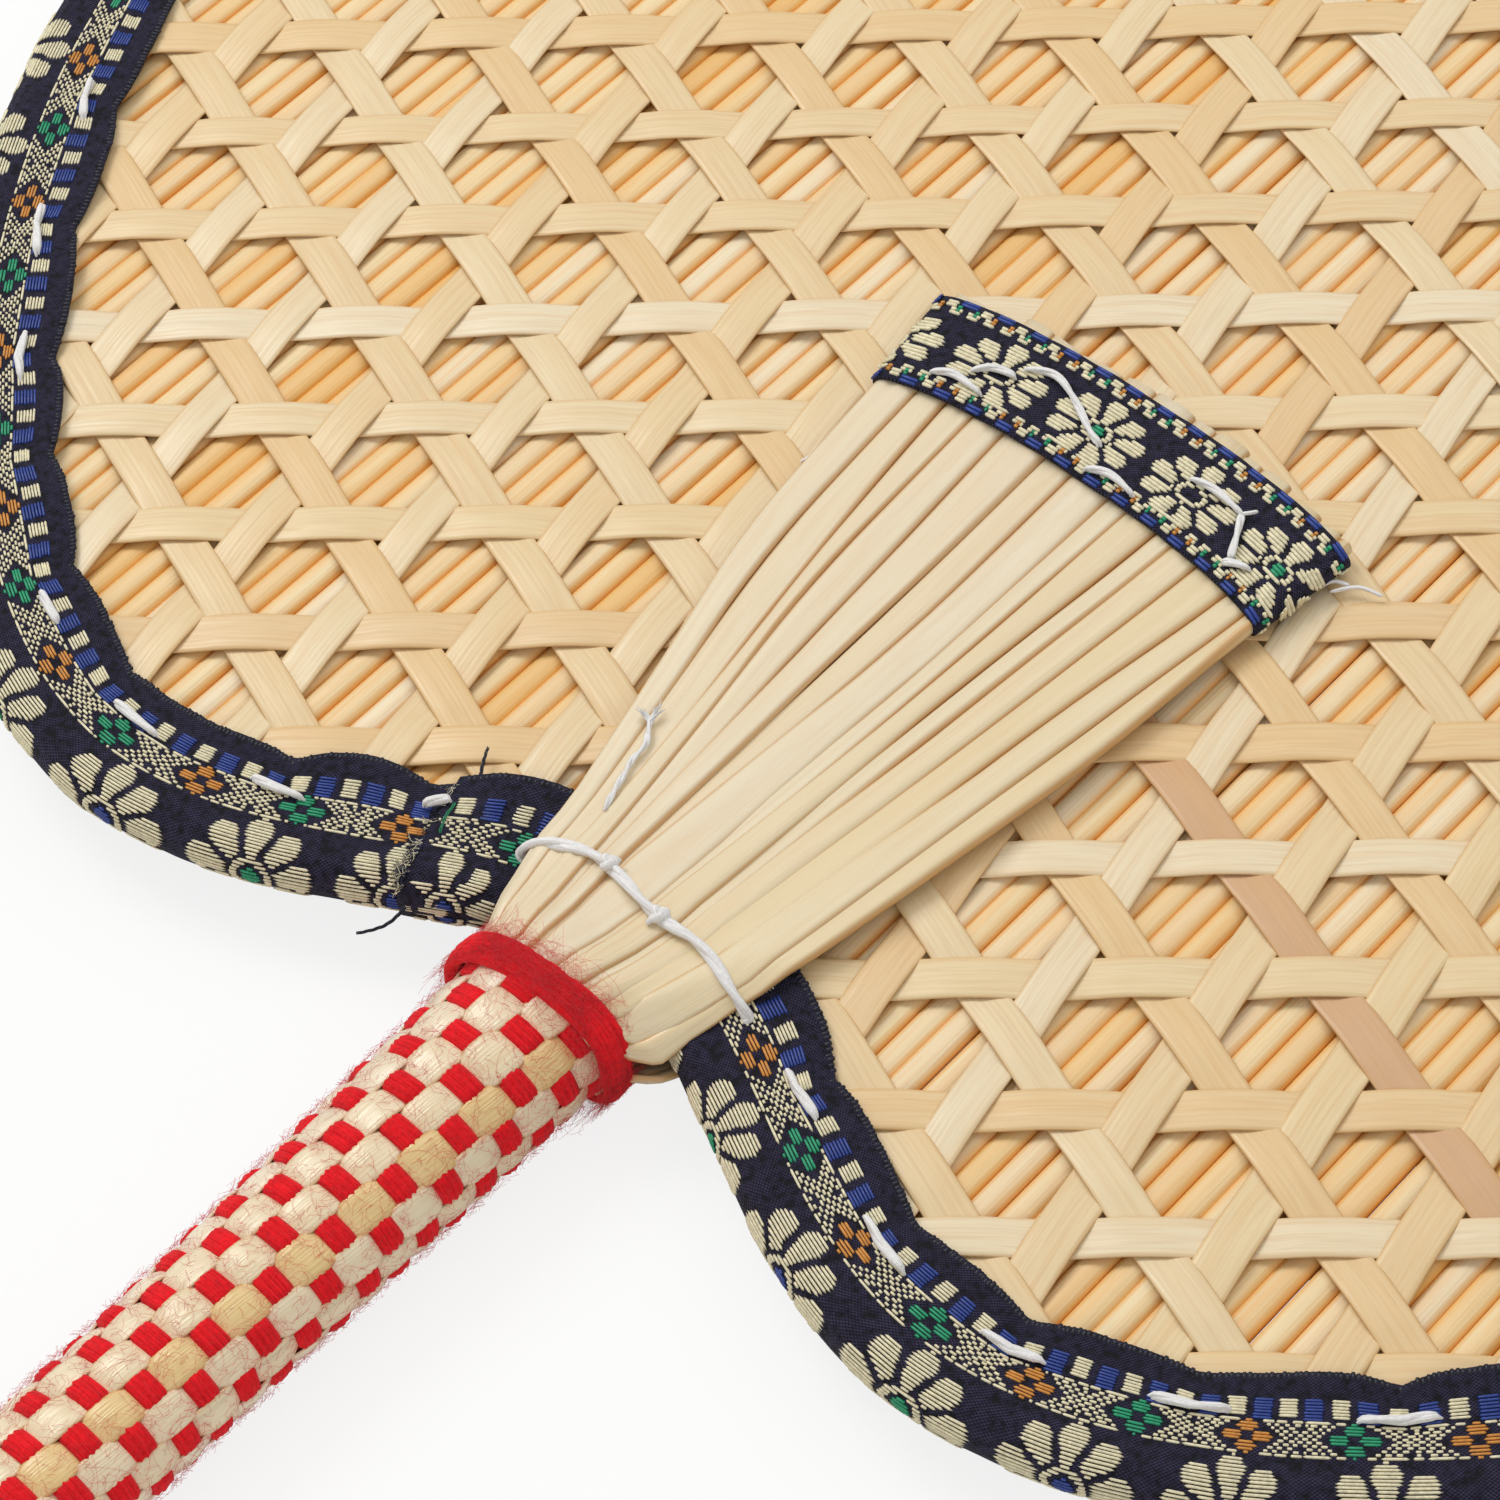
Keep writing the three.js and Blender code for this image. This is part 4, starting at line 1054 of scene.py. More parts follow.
def daisy(x, y, radius, core_dye, gap=PETAL_GAP):
    """A round flower of petals about a ring and a coloured heart, for places in metres from its middle."""
    distance = np.hypot(x, y)
    slice_angle = 2 * math.pi / DAISY_PETALS
    angle = np.arctan2(y, x) - math.pi / 2
    off_axis = angle - slice_angle * np.round(angle / slice_angle)
    forward, sideways = distance * np.cos(off_axis), np.abs(distance * np.sin(off_axis))
    half_slice = math.sin(slice_angle / 2)
    shoulder = (radius + gap / 2) / (1 + half_slice)
    round_end = shoulder * half_slice - gap / 2
    blade = (sideways < forward * half_slice - gap / 2) & (forward < shoulder)
    tip = np.hypot(forward - shoulder, sideways) < round_end
    dye = np.where((blade | tip) & (distance > PETAL_ROOT * radius), 0, -1)
    dye = np.where((distance < RING_OUTSIDE * radius) & (distance > RING_INSIDE * radius), 0, dye)
    return np.where(distance < HEART_SIZE * radius, core_dye, dye)


def ribbon_figure(u, w):
    """The dye of the ribbon's float at each place, or -1 for bare ground."""
    size = np.abs(w)
    count = flower_count(u)
    number = np.round(count)
    x, y = (count - number) * FLOWER_PITCH, size - CHAIN_MIDDLE
    to_cross = FLOWER_PITCH / 2 - np.abs(x)
    lines = np.abs(np.abs(y) - 0.75 * to_cross)
    chain = np.abs(lines - 0.42 * MM) < 0.24 * MM
    dots = (np.mod(u, 1.1 * MM) < 0.5 * MM) & (np.abs(y) - 0.75 * to_cross > 1.0 * MM)
    around = np.abs(x) / (4.3 * MM) + np.abs(y) / (3.2 * MM)
    frame = (around > 1.0) & (around < 1.12)
    rims = (np.abs(np.abs(y) - CHAIN_HALF + 0.2 * MM) < 0.21 * MM) & (np.mod(u, 1.5 * MM) < 1.1 * MM)
    in_chain = np.abs(y) < CHAIN_HALF
    round_flower = np.abs(x) / (3.7 * MM) + np.abs(y) / (2.7 * MM) < 1
    dye = np.where(in_chain & ~round_flower & (chain | dots | rims | frame), 0, -1)
    colour = np.where(np.mod(number, 2) == 1, 3, 2)
    for px, py, long in SMALL_PETALS:
        dye = np.where(in_petal(x - px * MM, y - py * MM, long * MM, SMALL_PETAL_HALF), colour, dye)
    block = np.mod(count * 4, 2)
    off = np.abs(np.mod(block, 1) - 0.5) * FLOWER_PITCH / 4
    blue_block = (block < 1) & (off < 1.2 * MM) & (np.abs(size - BLOCKS_MIDDLE) < BLOCKS_HALF)
    cream_block = (block >= 1) & (off < 1.1 * MM) & (np.abs(size - BLOCKS_MIDDLE) < BLOCKS_HALF - 0.2 * MM)
    dye = np.where(blue_block, 1, np.where(cream_block, 0, dye))
    nearest = np.round((count - DAISY_FIRST) / DAISY_STEP)
    dx = (count - DAISY_FIRST - nearest * DAISY_STEP) * FLOWER_PITCH
    heart = np.where(np.mod(nearest, 2) == 0, 1, 2)
    big = daisy(dx, w, DAISY_RADIUS, heart)
    return np.where(big >= 0, big, dye)


def ribbon_floats(name, face, rng):
    """The floats on one face of the ribbon. face is 1 in front and -1 behind."""
    rows = np.arange(0.5, RIBBON_HALF / WARP_PITCH - BARE_ROWS) * WARP_PITCH * face
    found = np.array(drawn_floats(ribbon_figure, u_start + END_MARGIN, u_end, rows))
    found = found[found[:, 0] > u_start + END_MARGIN + free_end_slant(found[:, 2])]
    start, end, w, dye = found.T
    start = start + rng.normal(0, FLOAT_SPREAD * MM, len(start))
    end = end + rng.normal(0, FLOAT_SPREAD * MM, len(end))
    middle_u, run = (start + end) / 2, ribbon_place(end, w) - ribbon_place(start, w)
    middle = ribbon_place(middle_u, w, CLOTH_THICK / 2 + rng.uniform(0.0, FLOAT_SPREAD, len(w)) * MM)
    reach = np.linalg.norm(run, axis=1) + 0.1 * MM
    settle(lay_floats(name, middle, run, facing(ribbon_place, middle_u, w), reach, dye), "ribbon")
    print(len(found), "floats")


ribbon_floats("ribbon_front_floats", 1, np.random.default_rng(31))
ribbon_floats("ribbon_back_floats", -1, np.random.default_rng(32))

# %% [markdown]
# The selvedge is where the weft turns back, so it has a tooth for each pair of threads. The same tree lays
# a short navy thread across the edge for every tooth.

# %% Selvedge teeth
TOOTH_PITCH = 0.62 * MM
TOOTH_LENGTH = 0.95 * MM
TOOTH_INSET = 0.36 * MM
FIRST_TOOTH = 4 * MM            # from the free end, which is frayed
TOOTH_RADIUS = 1.45 * FLOAT_RADIUS


def selvedge_teeth(rng):
    """A short thread for each tooth, on both selvedges."""
    parts = []
    for face in (1, -1):
        u = np.arange(u_start + FIRST_TOOTH, u_end, TOOTH_PITCH)
        u = u + rng.normal(0, 0.05 * MM, len(u))
        w = face * (RIBBON_HALF - TOOTH_INSET + rng.normal(0, 0.07 * MM, len(u)))
        run = ribbon_place(u, w + face * MM) - ribbon_place(u, w)
        parts.append((ribbon_place(u, w, 0.12 * MM), run, facing(ribbon_place, u, w)))
    middles, runs, faces = map(np.concatenate, zip(*parts))
    reach = TOOTH_LENGTH * rng.uniform(0.85, 1.15, len(middles))
    dyes = np.full(len(middles), DYES["navy"][0])
    return lay_floats("ribbon_selvedge", middles, runs, faces, reach, dyes, TOOTH_RADIUS)


settle(selvedge_teeth(np.random.default_rng(33)), "ribbon")

# %% [markdown]
# ## Running stitches
# White cotton thread holds the ribbon. Each stitch lies on the cloth and pulls it down, which is why the
# selvedge waves. The thread is two soft plies, so it is swept as two strands that twist about each other.

# %% Cotton thread
PLY_RADIUS = 0.42 * MM
PLY_OFFSET = 0.42               # of a ply's radius: how far each ply lies from the thread's middle
TWIST_PITCH = 15 * MM
FIBRE_SLANT = 0.8 * MM          # how far a fibre runs on for each radian round the strand
YARN_FIBRE_WIDTH = 0.2 * MM


def yarn_material(name, base, dark_fibre_and_hollow_shade, fibre_length, sheen, roughness, loft=0.7):
    """Soft spun thread: slanted fibres of uneven tone round the strand, and painted shade in their hollows.
    """
    material, tree = new_material(name)
    axes = put(tree, "ShaderNodeSeparateXYZ", {0: kept_value(tree, "section", "Vector")})
    around = put(tree, "ShaderNodeMath", {0: axes.outputs[1], 1: axes.outputs[0]}, operation="ARCTAN2")
    slant = put(tree, "ShaderNodeMath", {0: around, 1: FIBRE_SLANT}, operation="MULTIPLY")
    slanted = put(tree, "ShaderNodeMath", {0: kept_value(tree, "along"), 1: slant}, operation="ADD")
    fibres = strand_noise(tree, slanted, fibre_length, YARN_FIBRE_WIDTH, 3.0)
    fuzz = object_noise(tree, 2200.0, 3.0)
    mixed = put(tree, "ShaderNodeMixRGB", {0: 0.35, 1: fibres, 2: fuzz})
    share = put(tree, "ShaderNodeMapRange", {"Value": mixed, "From Min": 0.36, "From Max": 0.62})
    # The darker colour lies where the bump is low: uneven fibres, and painted shade in the hollows between
    # them.
    colour = put(tree, "ShaderNodeMixRGB", {0: share, 1: linear(dark_fibre_and_hollow_shade), 2: linear(base)})
    bump = put(tree, "ShaderNodeBump", {"Height": mixed, "Strength": loft, "Distance": 0.3 * MM})
    return finish_material(material, tree, {
        "Base Color": colour, "Roughness": roughness, "Normal": bump, "Specular IOR Level": 0.3,
        "Sheen Weight": sheen, "Sheen Roughness": 0.45})


cotton_thread = yarn_material("cotton_thread", "#F6F4F2", "#DFDCD9", 4 * MM, 0.2, 0.85)


def plies(path, ply_offset, pitch, count=2, turn_angle=0.0):
    """Strands that twist about a path. The path is an array of points."""
    step = np.gradient(path, axis=0)
    step /= np.linalg.norm(step, axis=1)[:, None]
    length = distance_along(path)
    side = np.cross(step, (0, 0, 1))
    side /= np.maximum(np.linalg.norm(side, axis=1)[:, None], 1e-6)
    up = np.cross(side, step)
    strands = []
    for k in range(count):
        angle = (2 * math.pi * (length / pitch + k / count) + turn_angle)[:, None]
        strands.append(path + ply_offset * (np.cos(angle) * side + np.sin(angle) * up))
    return strands


def tapered(lines, least=0.35, share=0.12):
    """Girths that thin each line towards its ends."""
    girths = []
    for line in lines:
        t = np.linspace(0, 1, len(line))
        girths.append(least + (1 - least) * np.clip(np.minimum(t, 1 - t) / share, 0, 1))
    return girths


def stitch_path(start_u, end_u, w, slant, face=1, points=15):
    """A stitch along the ribbon that arches a little, with both ends pulled into the cloth."""
    t = np.linspace(0, 1, points)
    arch = 0.35 * MM * np.sin(math.pi * t) ** 0.5
    rise = (CLOTH_THICK / 2 + 0.25 * MM) + arch - 0.5 * MM * (np.abs(2 * t - 1) > 0.92)
    return ribbon_place(start_u + (end_u - start_u) * t, face * (w + slant * (t - 0.5)), rise)


STITCH_ROW = 12.4               # mm from the fold
BACK_STITCH = 13.5 * MM
BACK_START = 0.8 * MM           # where it starts, past the front one's end
# Place along the edge, half length, distance from the fold and slant of the stitches seen, in mm.
SEEN_STITCHES = ((-91.3, 2.7, 12.5, 0.7), (-66.8, 4.0, 13.0, -0.1), (-42.3, 3.5, 12.0, -1.7),
                 (-22.9, 1.3, 13.9, 1.0))


def ribbon_stitches(rng):
    """Stitches all round, drawn by chance or as seen."""
    lines = []
    drawn = [(s / MM + rng.normal(0, 0.5), rng.uniform(3.3, 4.5), STITCH_ROW + rng.normal(0, 0.35),
              rng.normal(0, 0.6)) for s in even_pulls[1:]]
    for s, half, w, slant in drawn + list(SEEN_STITCHES):
        middle, half, w = cloth_from_edge(s * MM), half * MM, w * MM
        path = stitch_path(middle - half, middle + half, w, slant * MM)
        lines += plies(path, PLY_RADIUS * PLY_OFFSET, TWIST_PITCH, turn_angle=rng.uniform(0, 6))
        after = middle + half + BACK_START
        path = stitch_path(after, after + BACK_STITCH, w, rng.normal(0, 0.8) * MM, face=-1, points=25)
        lines += plies(path, PLY_RADIUS * PLY_OFFSET, TWIST_PITCH, turn_angle=rng.uniform(0, 6))
    return lines


lines = ribbon_stitches(np.random.default_rng(44))
settle(sweep("ribbon_stitches", lines, PLY_RADIUS, PLY_RADIUS, cotton_thread, girths=tapered(lines), sides=7),
       "thread")

# %% [markdown]
# The lap's free end isn't hemmed. Its warp has come loose: short navy, cream and white fibres lie over the
# cloth next to it, two navy threads stick out past the edges, and a green one lies between them.

# %% Frayed end of the lap
FRAY_SHADES = ((0.0, "#15172B"), (0.25, "#33365A"), (0.5, "#2A8C62"), (0.75, "#DCD2AE"), (1.0, "#E4E2EA"))
FRAYED_FIBRES = 230
FRAY_RADIUS = 0.045 * MM
FRAY_TWIST = (0.12 * MM, 3.5 * MM)      # a strand's distance from its thread's middle, and one turn's length
# Tint, girth and path of each loose thread, in mm past the collar.
FRAYED_TAILS = ((0.0, 3.0, ((-21.0, -1.4, 1.7), (-21.05, -2.9, 1.3), (-21.4, -4.3, 1.0), (-22.1, -5.7, 1.0),
                            (-23.1, -7.1, 1.0))),
                (0.0, 2.8, ((-25.6, 15.6, 3.5), (-26.25, 16.65, 3.8), (-26.9, 17.65, 3.8), (-27.5, 18.6, 3.7),
                            (-28.0, 19.5, 3.6))),
                (0.5, 1.8, ((-25.1, 11.2, 4.2), (-24.8, 10.3, 4.4), (-24.6, 9.2, 4.3), (-24.2, 8.3, 4.2),
                            (-23.7, 7.3, 4.0))))


def fray_material():
    """Loose rayon and cotton fibres: each keeps its thread's dye, a little dusty."""
    material, tree = new_material("frayed_fibres")
    shaded = mottled_shade(tree, tint_ramp(tree, FRAY_SHADES), 900.0, 0.8, 1.1)
    return finish_material(material, tree, {"Base Color": shaded, "Roughness": 0.6})


def spline(points, count):
    """A smooth path through a few points, by Catmull and Rom's rule."""
    points = np.array(points)
    padded = np.vstack([2 * points[0] - points[1], points, 2 * points[-1] - points[-2]])
    t = np.linspace(0, len(points) - 1 - 1e-9, count)
    i = t.astype(int)
    f = (t - i)[:, None]
    a, b, c, d = (padded[i + k] for k in range(4))
    square, cube = 2 * a - 5 * b + 4 * c - d, 3 * b - a - 3 * c + d
    return 0.5 * (2 * b + (c - a) * f + square * f * f + cube * f ** 3)


def frayed_end(rng):
    """Fibres that leave the free end and lie along the cloth beneath it, and the loose threads."""
    lines, tints, girths = [], [], []
    t = np.linspace(0, 1, 7)
    for _ in range(FRAYED_FIBRES):
        w = rng.choice((rng.uniform(1.5, 17.5), rng.normal(6.4, 0.8), rng.normal(3.6, 0.9))) * MM
        tuft = 0.5 + 0.5 * math.sin(w / MM * 1.9)
        start = u_start + free_end_slant(w) + rng.uniform(-0.2, 0.7) * MM
        length = rng.uniform(0.4, 0.9 + 1.3 * tuft) * MM
        bend = rng.normal(0, 0.7) * MM * t ** 2 + rng.normal(0, 0.25) * MM * np.sin(3 * t)
        rise = (0.35 + rng.uniform(0, 0.45) * np.sin(2.4 * t) - 0.7 * t) * MM + 0.1 * MM
        lines.append(ribbon_place(start - length * t, w + bend, rise))
        tints.append(rng.choice((0.0, 0.25, 0.75, 1.0), p=(0.42, 0.22, 0.3, 0.06)))
        girths.append(np.linspace(1, 0.5, len(t)))
    for tint, girth, tail in FRAYED_TAILS:
        path = spline(tail, 24) * MM + np.array((0, COLLAR_Y, 0))
        for strand in plies(path, *FRAY_TWIST, count=3):
            lines.append(strand)
            tints.append(tint)
            girths.append(np.linspace(girth, 0.62 * girth, len(strand)))
    return lines, np.array(tints), girths


lines, tints, girths = frayed_end(np.random.default_rng(45))
settle(sweep("frayed_lap_end", lines, FRAY_RADIUS, FRAY_RADIUS, fray_material(), tints, girths, sides=4),
       "ribbon")

# %% [markdown]
# ## The sprays of flat straws
# The handle's straws leave the collar, bend over and lie flat on the blade, fourteen to a side. Near the
# neck they crowd and slide over each other, so each straw has its own list of edges, read from the
# photograph.

# %% Spray straws
STRAWS = 14
STRAW_SIDES = 18
STRAW_BOTTOM = 3.35             # mm above the blade's middle plane
# The edges between the straws, as shares of the spray's half width, at some heights in mm past the collar.
STRAW_EDGES = {
    -1.2: (-0.97, -0.85, -0.68, -0.54, -0.44, -0.32, -0.18, 0.0, 0.16, 0.3, 0.42, 0.56, 0.72, 0.87, 1.0),
    1: (-0.9, -0.78, -0.6, -0.46, -0.37, -0.27, -0.13, 0.06, 0.22, 0.37, 0.5, 0.66, 0.83, 1.08, 1.31),
    5: (-0.88, -0.76, -0.59, -0.46, -0.37, -0.27, -0.14, 0.06, 0.21, 0.35, 0.48, 0.62, 0.79, 1.02, 1.17),
    12: (-0.84, -0.735, -0.57, -0.46, -0.37, -0.28, -0.16, 0.05, 0.19, 0.325, 0.445, 0.58, 0.76, 0.94, 1.067),
    18: (-0.81, -0.71, -0.55, -0.46, -0.37, -0.28, -0.17, 0.05, 0.18, 0.30, 0.42, 0.55, 0.74, 0.92, 1.07),
    60: (-1.03, -0.86, -0.657, -0.583, -0.394, -0.214, -0.049, 0.14, 0.23, 0.337, 0.444, 0.591, 0.739, 0.9,
         1.04),
    88: (-1.035, -0.85, -0.72, -0.58, -0.43, -0.21, -0.06, 0.13, 0.24, 0.40, 0.50, 0.64, 0.83, 0.95, 1.01)}
# The spray's half width, and how high its straws rise over the neck, at heights in mm past the collar.
HALF_WIDTHS = ((-6, 10.4), (1, 11.2), (5, 13.4), (14, 17.2), (30, 20.2), (57, 25.0), (88, 28.3), (112, 30.4))
NECK_RISE = ((-8, 6.2), (-3, 6.6), (0.5, 7.9), (3.5, 7.6), (8, 6.3), (14, 5.2), (22, 4.7), (40, 4.45))
# How far each straw lies over its neighbours, between 0 and 1.
OVERLAPS = (0.5, 0.2, 0.9, 0.1, 0.7, 0.0, 0.75, 0.3, 0.95, 0.15, 0.6, 0.35, 0.85, 0.2)
BAND_RISE = 97.1
BAND_TILT = math.tan(math.radians(-1.75))
BAND_BOW = 2.9
BAND_BEND = 2.6                 # the band hardly bends in the middle and more towards its ends
BAND_SPAN = 28.8                # from its middle to where it has bowed that far
BAND_HALF = 7.2
TOP_HALF_WIDTH = 28.6           # of the spray beneath the band
EASE_FROM = 12                  # mm past the collar, where the averaging starts
EASE_GROWTH = 0.3               # and how fast its stretch grows with the height
EASE_REACH = 10


def band_line(x):
    """The height of the band's middle above the collar, in mm, at x in mm."""
    return BAND_RISE + BAND_TILT * x - BAND_BOW * np.abs(x / BAND_SPAN) ** BAND_BEND


def straw_section(sides, crease):
    """A flattened tube seen end on, 1 wide and 1 high from its middle, with a fold line on top."""
    angles = np.linspace(0, 2 * math.pi, sides, endpoint=False)
    x = np.sign(np.cos(angles)) * np.abs(np.cos(angles)) ** 0.92
    z = np.sign(np.sin(angles)) * np.abs(np.sin(angles)) ** 0.74
    dent = np.exp(-((x - crease) / 0.18) ** 2) * (z > 0.2)
    return x, z - 0.3 * dent


def eased(y, heights, values):
    """Values between measured ones, averaged over a stretch, so that a straw bends softly past the tie."""
    half = np.clip(EASE_GROWTH * (y - EASE_FROM), 0, EASE_REACH)
    return np.mean([np.interp(y + share * half, heights, values) for share in np.linspace(-1, 1, 11)], axis=0)


def spray_straw(number, rng):
    """Grid of points of one straw, in mm, in front of the blade."""
    heights, edges = zip(*STRAW_EDGES.items())
    top_x = TOP_HALF_WIDTH * (edges[-1][number] + edges[-1][number + 1]) / 2
    top = band_line(top_x) + BAND_HALF + rng.uniform(0.9, 2.1)
    y = np.concatenate([np.linspace(-3, 8, 16), np.linspace(10, top, 26)])
    left, right = (eased(y, heights, [row[edge] for row in edges]) for edge in (number, number + 1))
    half = eased(y, *zip(*HALF_WIDTHS))
    middle, width = (left + right) / 2 * half, (right - left) / 2 * half
    crowd = np.clip(1 - (y - 16) / 34, 0, 1) * np.clip((y + 6) / 6, 0, 1)
    width = width * (1.03 + (0.22 + 0.5 * OVERLAPS[number]) * crowd) - 0.03
    middle = middle + 0.22 * soft_noise(y, 60 + number, 26)
    base = np.interp(y, *zip(*NECK_RISE))
    round_neck = np.clip(1 - (y - 1) / 15, 0, 1) ** 0.8
    lean = np.minimum(np.abs(middle / half), 1)
    drop = (base - 1.0) * (1 - np.sqrt(np.clip(1 - (0.97 * lean) ** 2, 0, 1))) * round_neck
    layer = (OVERLAPS[number] - 0.45) * (0.2 + 0.55 * np.clip(1 - (y - 25) / 45, 0, 1))
    height = base - drop + layer
    thick = np.interp(y, (-7, 2, 8, 20, 112), (0.8, 0.75, 0.65, 0.85, 1.05)) * rng.uniform(0.88, 1.1)
    height = np.maximum(height, np.where(y > 12, STRAW_BOTTOM + thick, height))
    roll = -np.arctan(np.sign(middle) * lean ** 1.6 * 0.9) * round_neck
    roll = roll + rng.choice((-1, 1)) * rng.uniform(0.03, 0.1)
    crease = np.interp(y, (-7, 10, 60, 112), rng.uniform(-0.6, 0.6, 4))
    rings = []
    for i in range(len(y)):
        x, z = straw_section(STRAW_SIDES, crease[i])
        x, z = x * width[i], z * thick[i]
        c, s = math.cos(roll[i]), math.sin(roll[i])
        across, up = middle[i] + x * c - z * s, height[i] + x * s + z * c
        rings.append(np.stack([across, np.full_like(x, y[i]), up], -1))
    return np.array(rings)


END_RINGS = ((0.55, 0.25), (0.02, 0.3))     # each ring's size beside the last one, and how far past it, in mm


def close_ends(points):
    """Adds two smaller rings at both ends of a tube, so that its ends are rounded and closed."""
    ends = []
    for ring, step in ((points[:1], points[0] - points[1]), (points[-1:], points[-1] - points[-2])):
        centre = ring.mean(axis=1, keepdims=True)
        out = step.mean(axis=0) / max(np.linalg.norm(step.mean(axis=0)), 1e-9)
        ends.append([centre + (ring - centre) * size + out * past for size, past in END_RINGS])
    return np.concatenate([*ends[0][::-1], points, *ends[1]])


def tubes_piece(name, tubes, tints, material):
    """Tubes given in mm as one piece, with the same measures on their surface as a swept strand has."""
    verts, faces, along, section, tint, start = [], [], [], [], [], 0
    for tube, shade in zip(tubes, tints):
        tube = close_ends(tube)
        rows, sides = tube.shape[:2]
        index = start + np.arange(rows * sides).reshape(rows, sides)
        nxt = np.roll(index, -1, axis=1)
        faces.append(np.stack([index[:-1], nxt[:-1], nxt[1:], index[1:]], -1).reshape(-1, 4))
        verts.append(tube.reshape(-1, 3) * MM)
        centre = tube.mean(axis=1)
        along.append(np.repeat(distance_along(centre) * MM, sides))
        size = np.linalg.norm(tube - centre[:, None], axis=2)
        low, high = size.min(axis=1, keepdims=True), size.max(axis=1, keepdims=True)
        across = np.sqrt((size ** 2 - low ** 2) / np.maximum(high ** 2 - low ** 2, 0.2))
        side = SPRAY_STRAW_HALF / MM * np.sign(tube[..., 0] - centre[:, None, 0]) * np.minimum(across, 1)
        rise = tube[..., 2] - centre[:, None, 2]
        section.append(np.stack([side * MM, rise * MM, side * 0], -1).reshape(-1, 3))
        tint.append(np.full(rows * sides, shade))
        start += rows * sides
    mesh = smooth_mesh(name, np.concatenate(verts).tolist(), np.concatenate(faces).tolist())
    keep_value(mesh, "along", "FLOAT", np.concatenate(along))
    keep_value(mesh, "section", "FLOAT_VECTOR", np.concatenate(section))
    keep_value(mesh, "tint", "FLOAT", np.concatenate(tint))
    mesh.materials.append(material)
    return link_object(name, mesh)


def to_fan(points):
    """Places measured in mm past the collar's middle, moved to the fan's frame."""
    return points + np.array((0, COLLAR_Y / MM, 0))


for side, face, seed in (("front", 1, 71), ("back", -1, 91)):
    rng = np.random.default_rng(seed)
    for number in range(STRAWS):
        tube = to_fan(spray_straw(number, rng))
        tube = tube[:, ::face] * (1, 1, face)       # behind, the rings run the other way round
        piece = tubes_piece(f"{side}_spray_{number + 1:02d}", [tube], [rng.uniform(0, 1)], wheat_straw)
        settle(piece, "straw", f"{side}_straw_{number + 1:02d}")

# %% [markdown]
# ## The bands
# A narrow ribbon of the same weave crosses each spray and wraps round its outer straws. It follows one path
# across the straws, so its cloth and its floats come from a function of the same kind as the rim's.

# %% Band surface
# The band's course round the straws, across the spray and up, in mm.
BAND_PATH = ((-25.8, 3.0), (-28.5, 3.05), (-30.1, 3.35), (-30.8, 4.3), (-30.2, 5.4), (-28.7, 6.0),
             (-26.5, 6.1), (0, 6.1), (26.0, 6.0), (28.2, 5.85), (29.5, 5.25), (30.0, 4.2), (29.3, 3.35),
             (27.6, 3.05), (25.0, 3.0))
BAND_CLOTH_HALF = 7.3
BAND_SPREAD = 0.036             # its upper edge is longer than its middle by this share, as the spray widens
BAND_WRAP = 40                  # points at each end of the path that belong to the wrapped ends
BAND_FLOAT_RADIUS = 0.27 * MM
BAND_FLOWER = -3.1              # one flower of the band, from its middle
BAND_FLOWER_PITCH = 14.6
BAND_FLOWER_DROP = 0.75         # the flowers stand a little below the band's middle line
BAND_FLOAT_PITCH = 0.52
BAND_BEAT = 4.57                # one blue dash of its border and the gap after it


def smooth_path(points, count):
    """A path through a few points, rounded by averaging."""
    length = distance_along(points)
    t = np.linspace(0, length[-1], count)
    path = np.stack([np.interp(t, length, points[:, k]) for k in range(points.shape[1])], -1)
    for _ in range(6):
        path[1:-1] = (path[:-2] + path[1:-1] * 2 + path[2:]) / 4
    return path


band_cross = smooth_path(np.array(BAND_PATH), 260)
band_out = np.gradient(band_cross, axis=0)
band_out = np.column_stack([-band_out[:, 1], band_out[:, 0]])
band_out /= np.linalg.norm(band_out, axis=1)[:, None]
band_length = distance_along(band_cross)
BAND_TOTAL = band_length[-1]
BAND_MIDDLE = float(np.interp(0, band_cross[BAND_WRAP:-BAND_WRAP, 0], band_length[BAND_WRAP:-BAND_WRAP]))


def band_place(u, v, rise=0.0):
    """Points in mm past the collar: u along the band from its left end, v across it, rise off its cloth."""
    u, v = np.broadcast_arrays(np.asarray(u, float), np.asarray(v, float))
    x, z = (np.interp(u, band_length, band_cross[:, k]) for k in (0, 1))
    nx, nz = (np.interp(u, band_length, band_out[:, k]) for k in (0, 1))
    on_top = np.clip((z - 5) / 0.8, 0, 1)
    pressed = np.exp(-((np.abs(v) - BAND_CLOTH_HALF) / 0.9) ** 2)
    off = 0.13 * soft_noise(x, 15, 2.3) * on_top + 0.25 * pressed * on_top * -0.6 + rise
    spread = 1 + v / BAND_HALF * BAND_SPREAD
    return np.stack([(x + nx * off) * spread, band_line(x) + v, z + nz * off], -1)


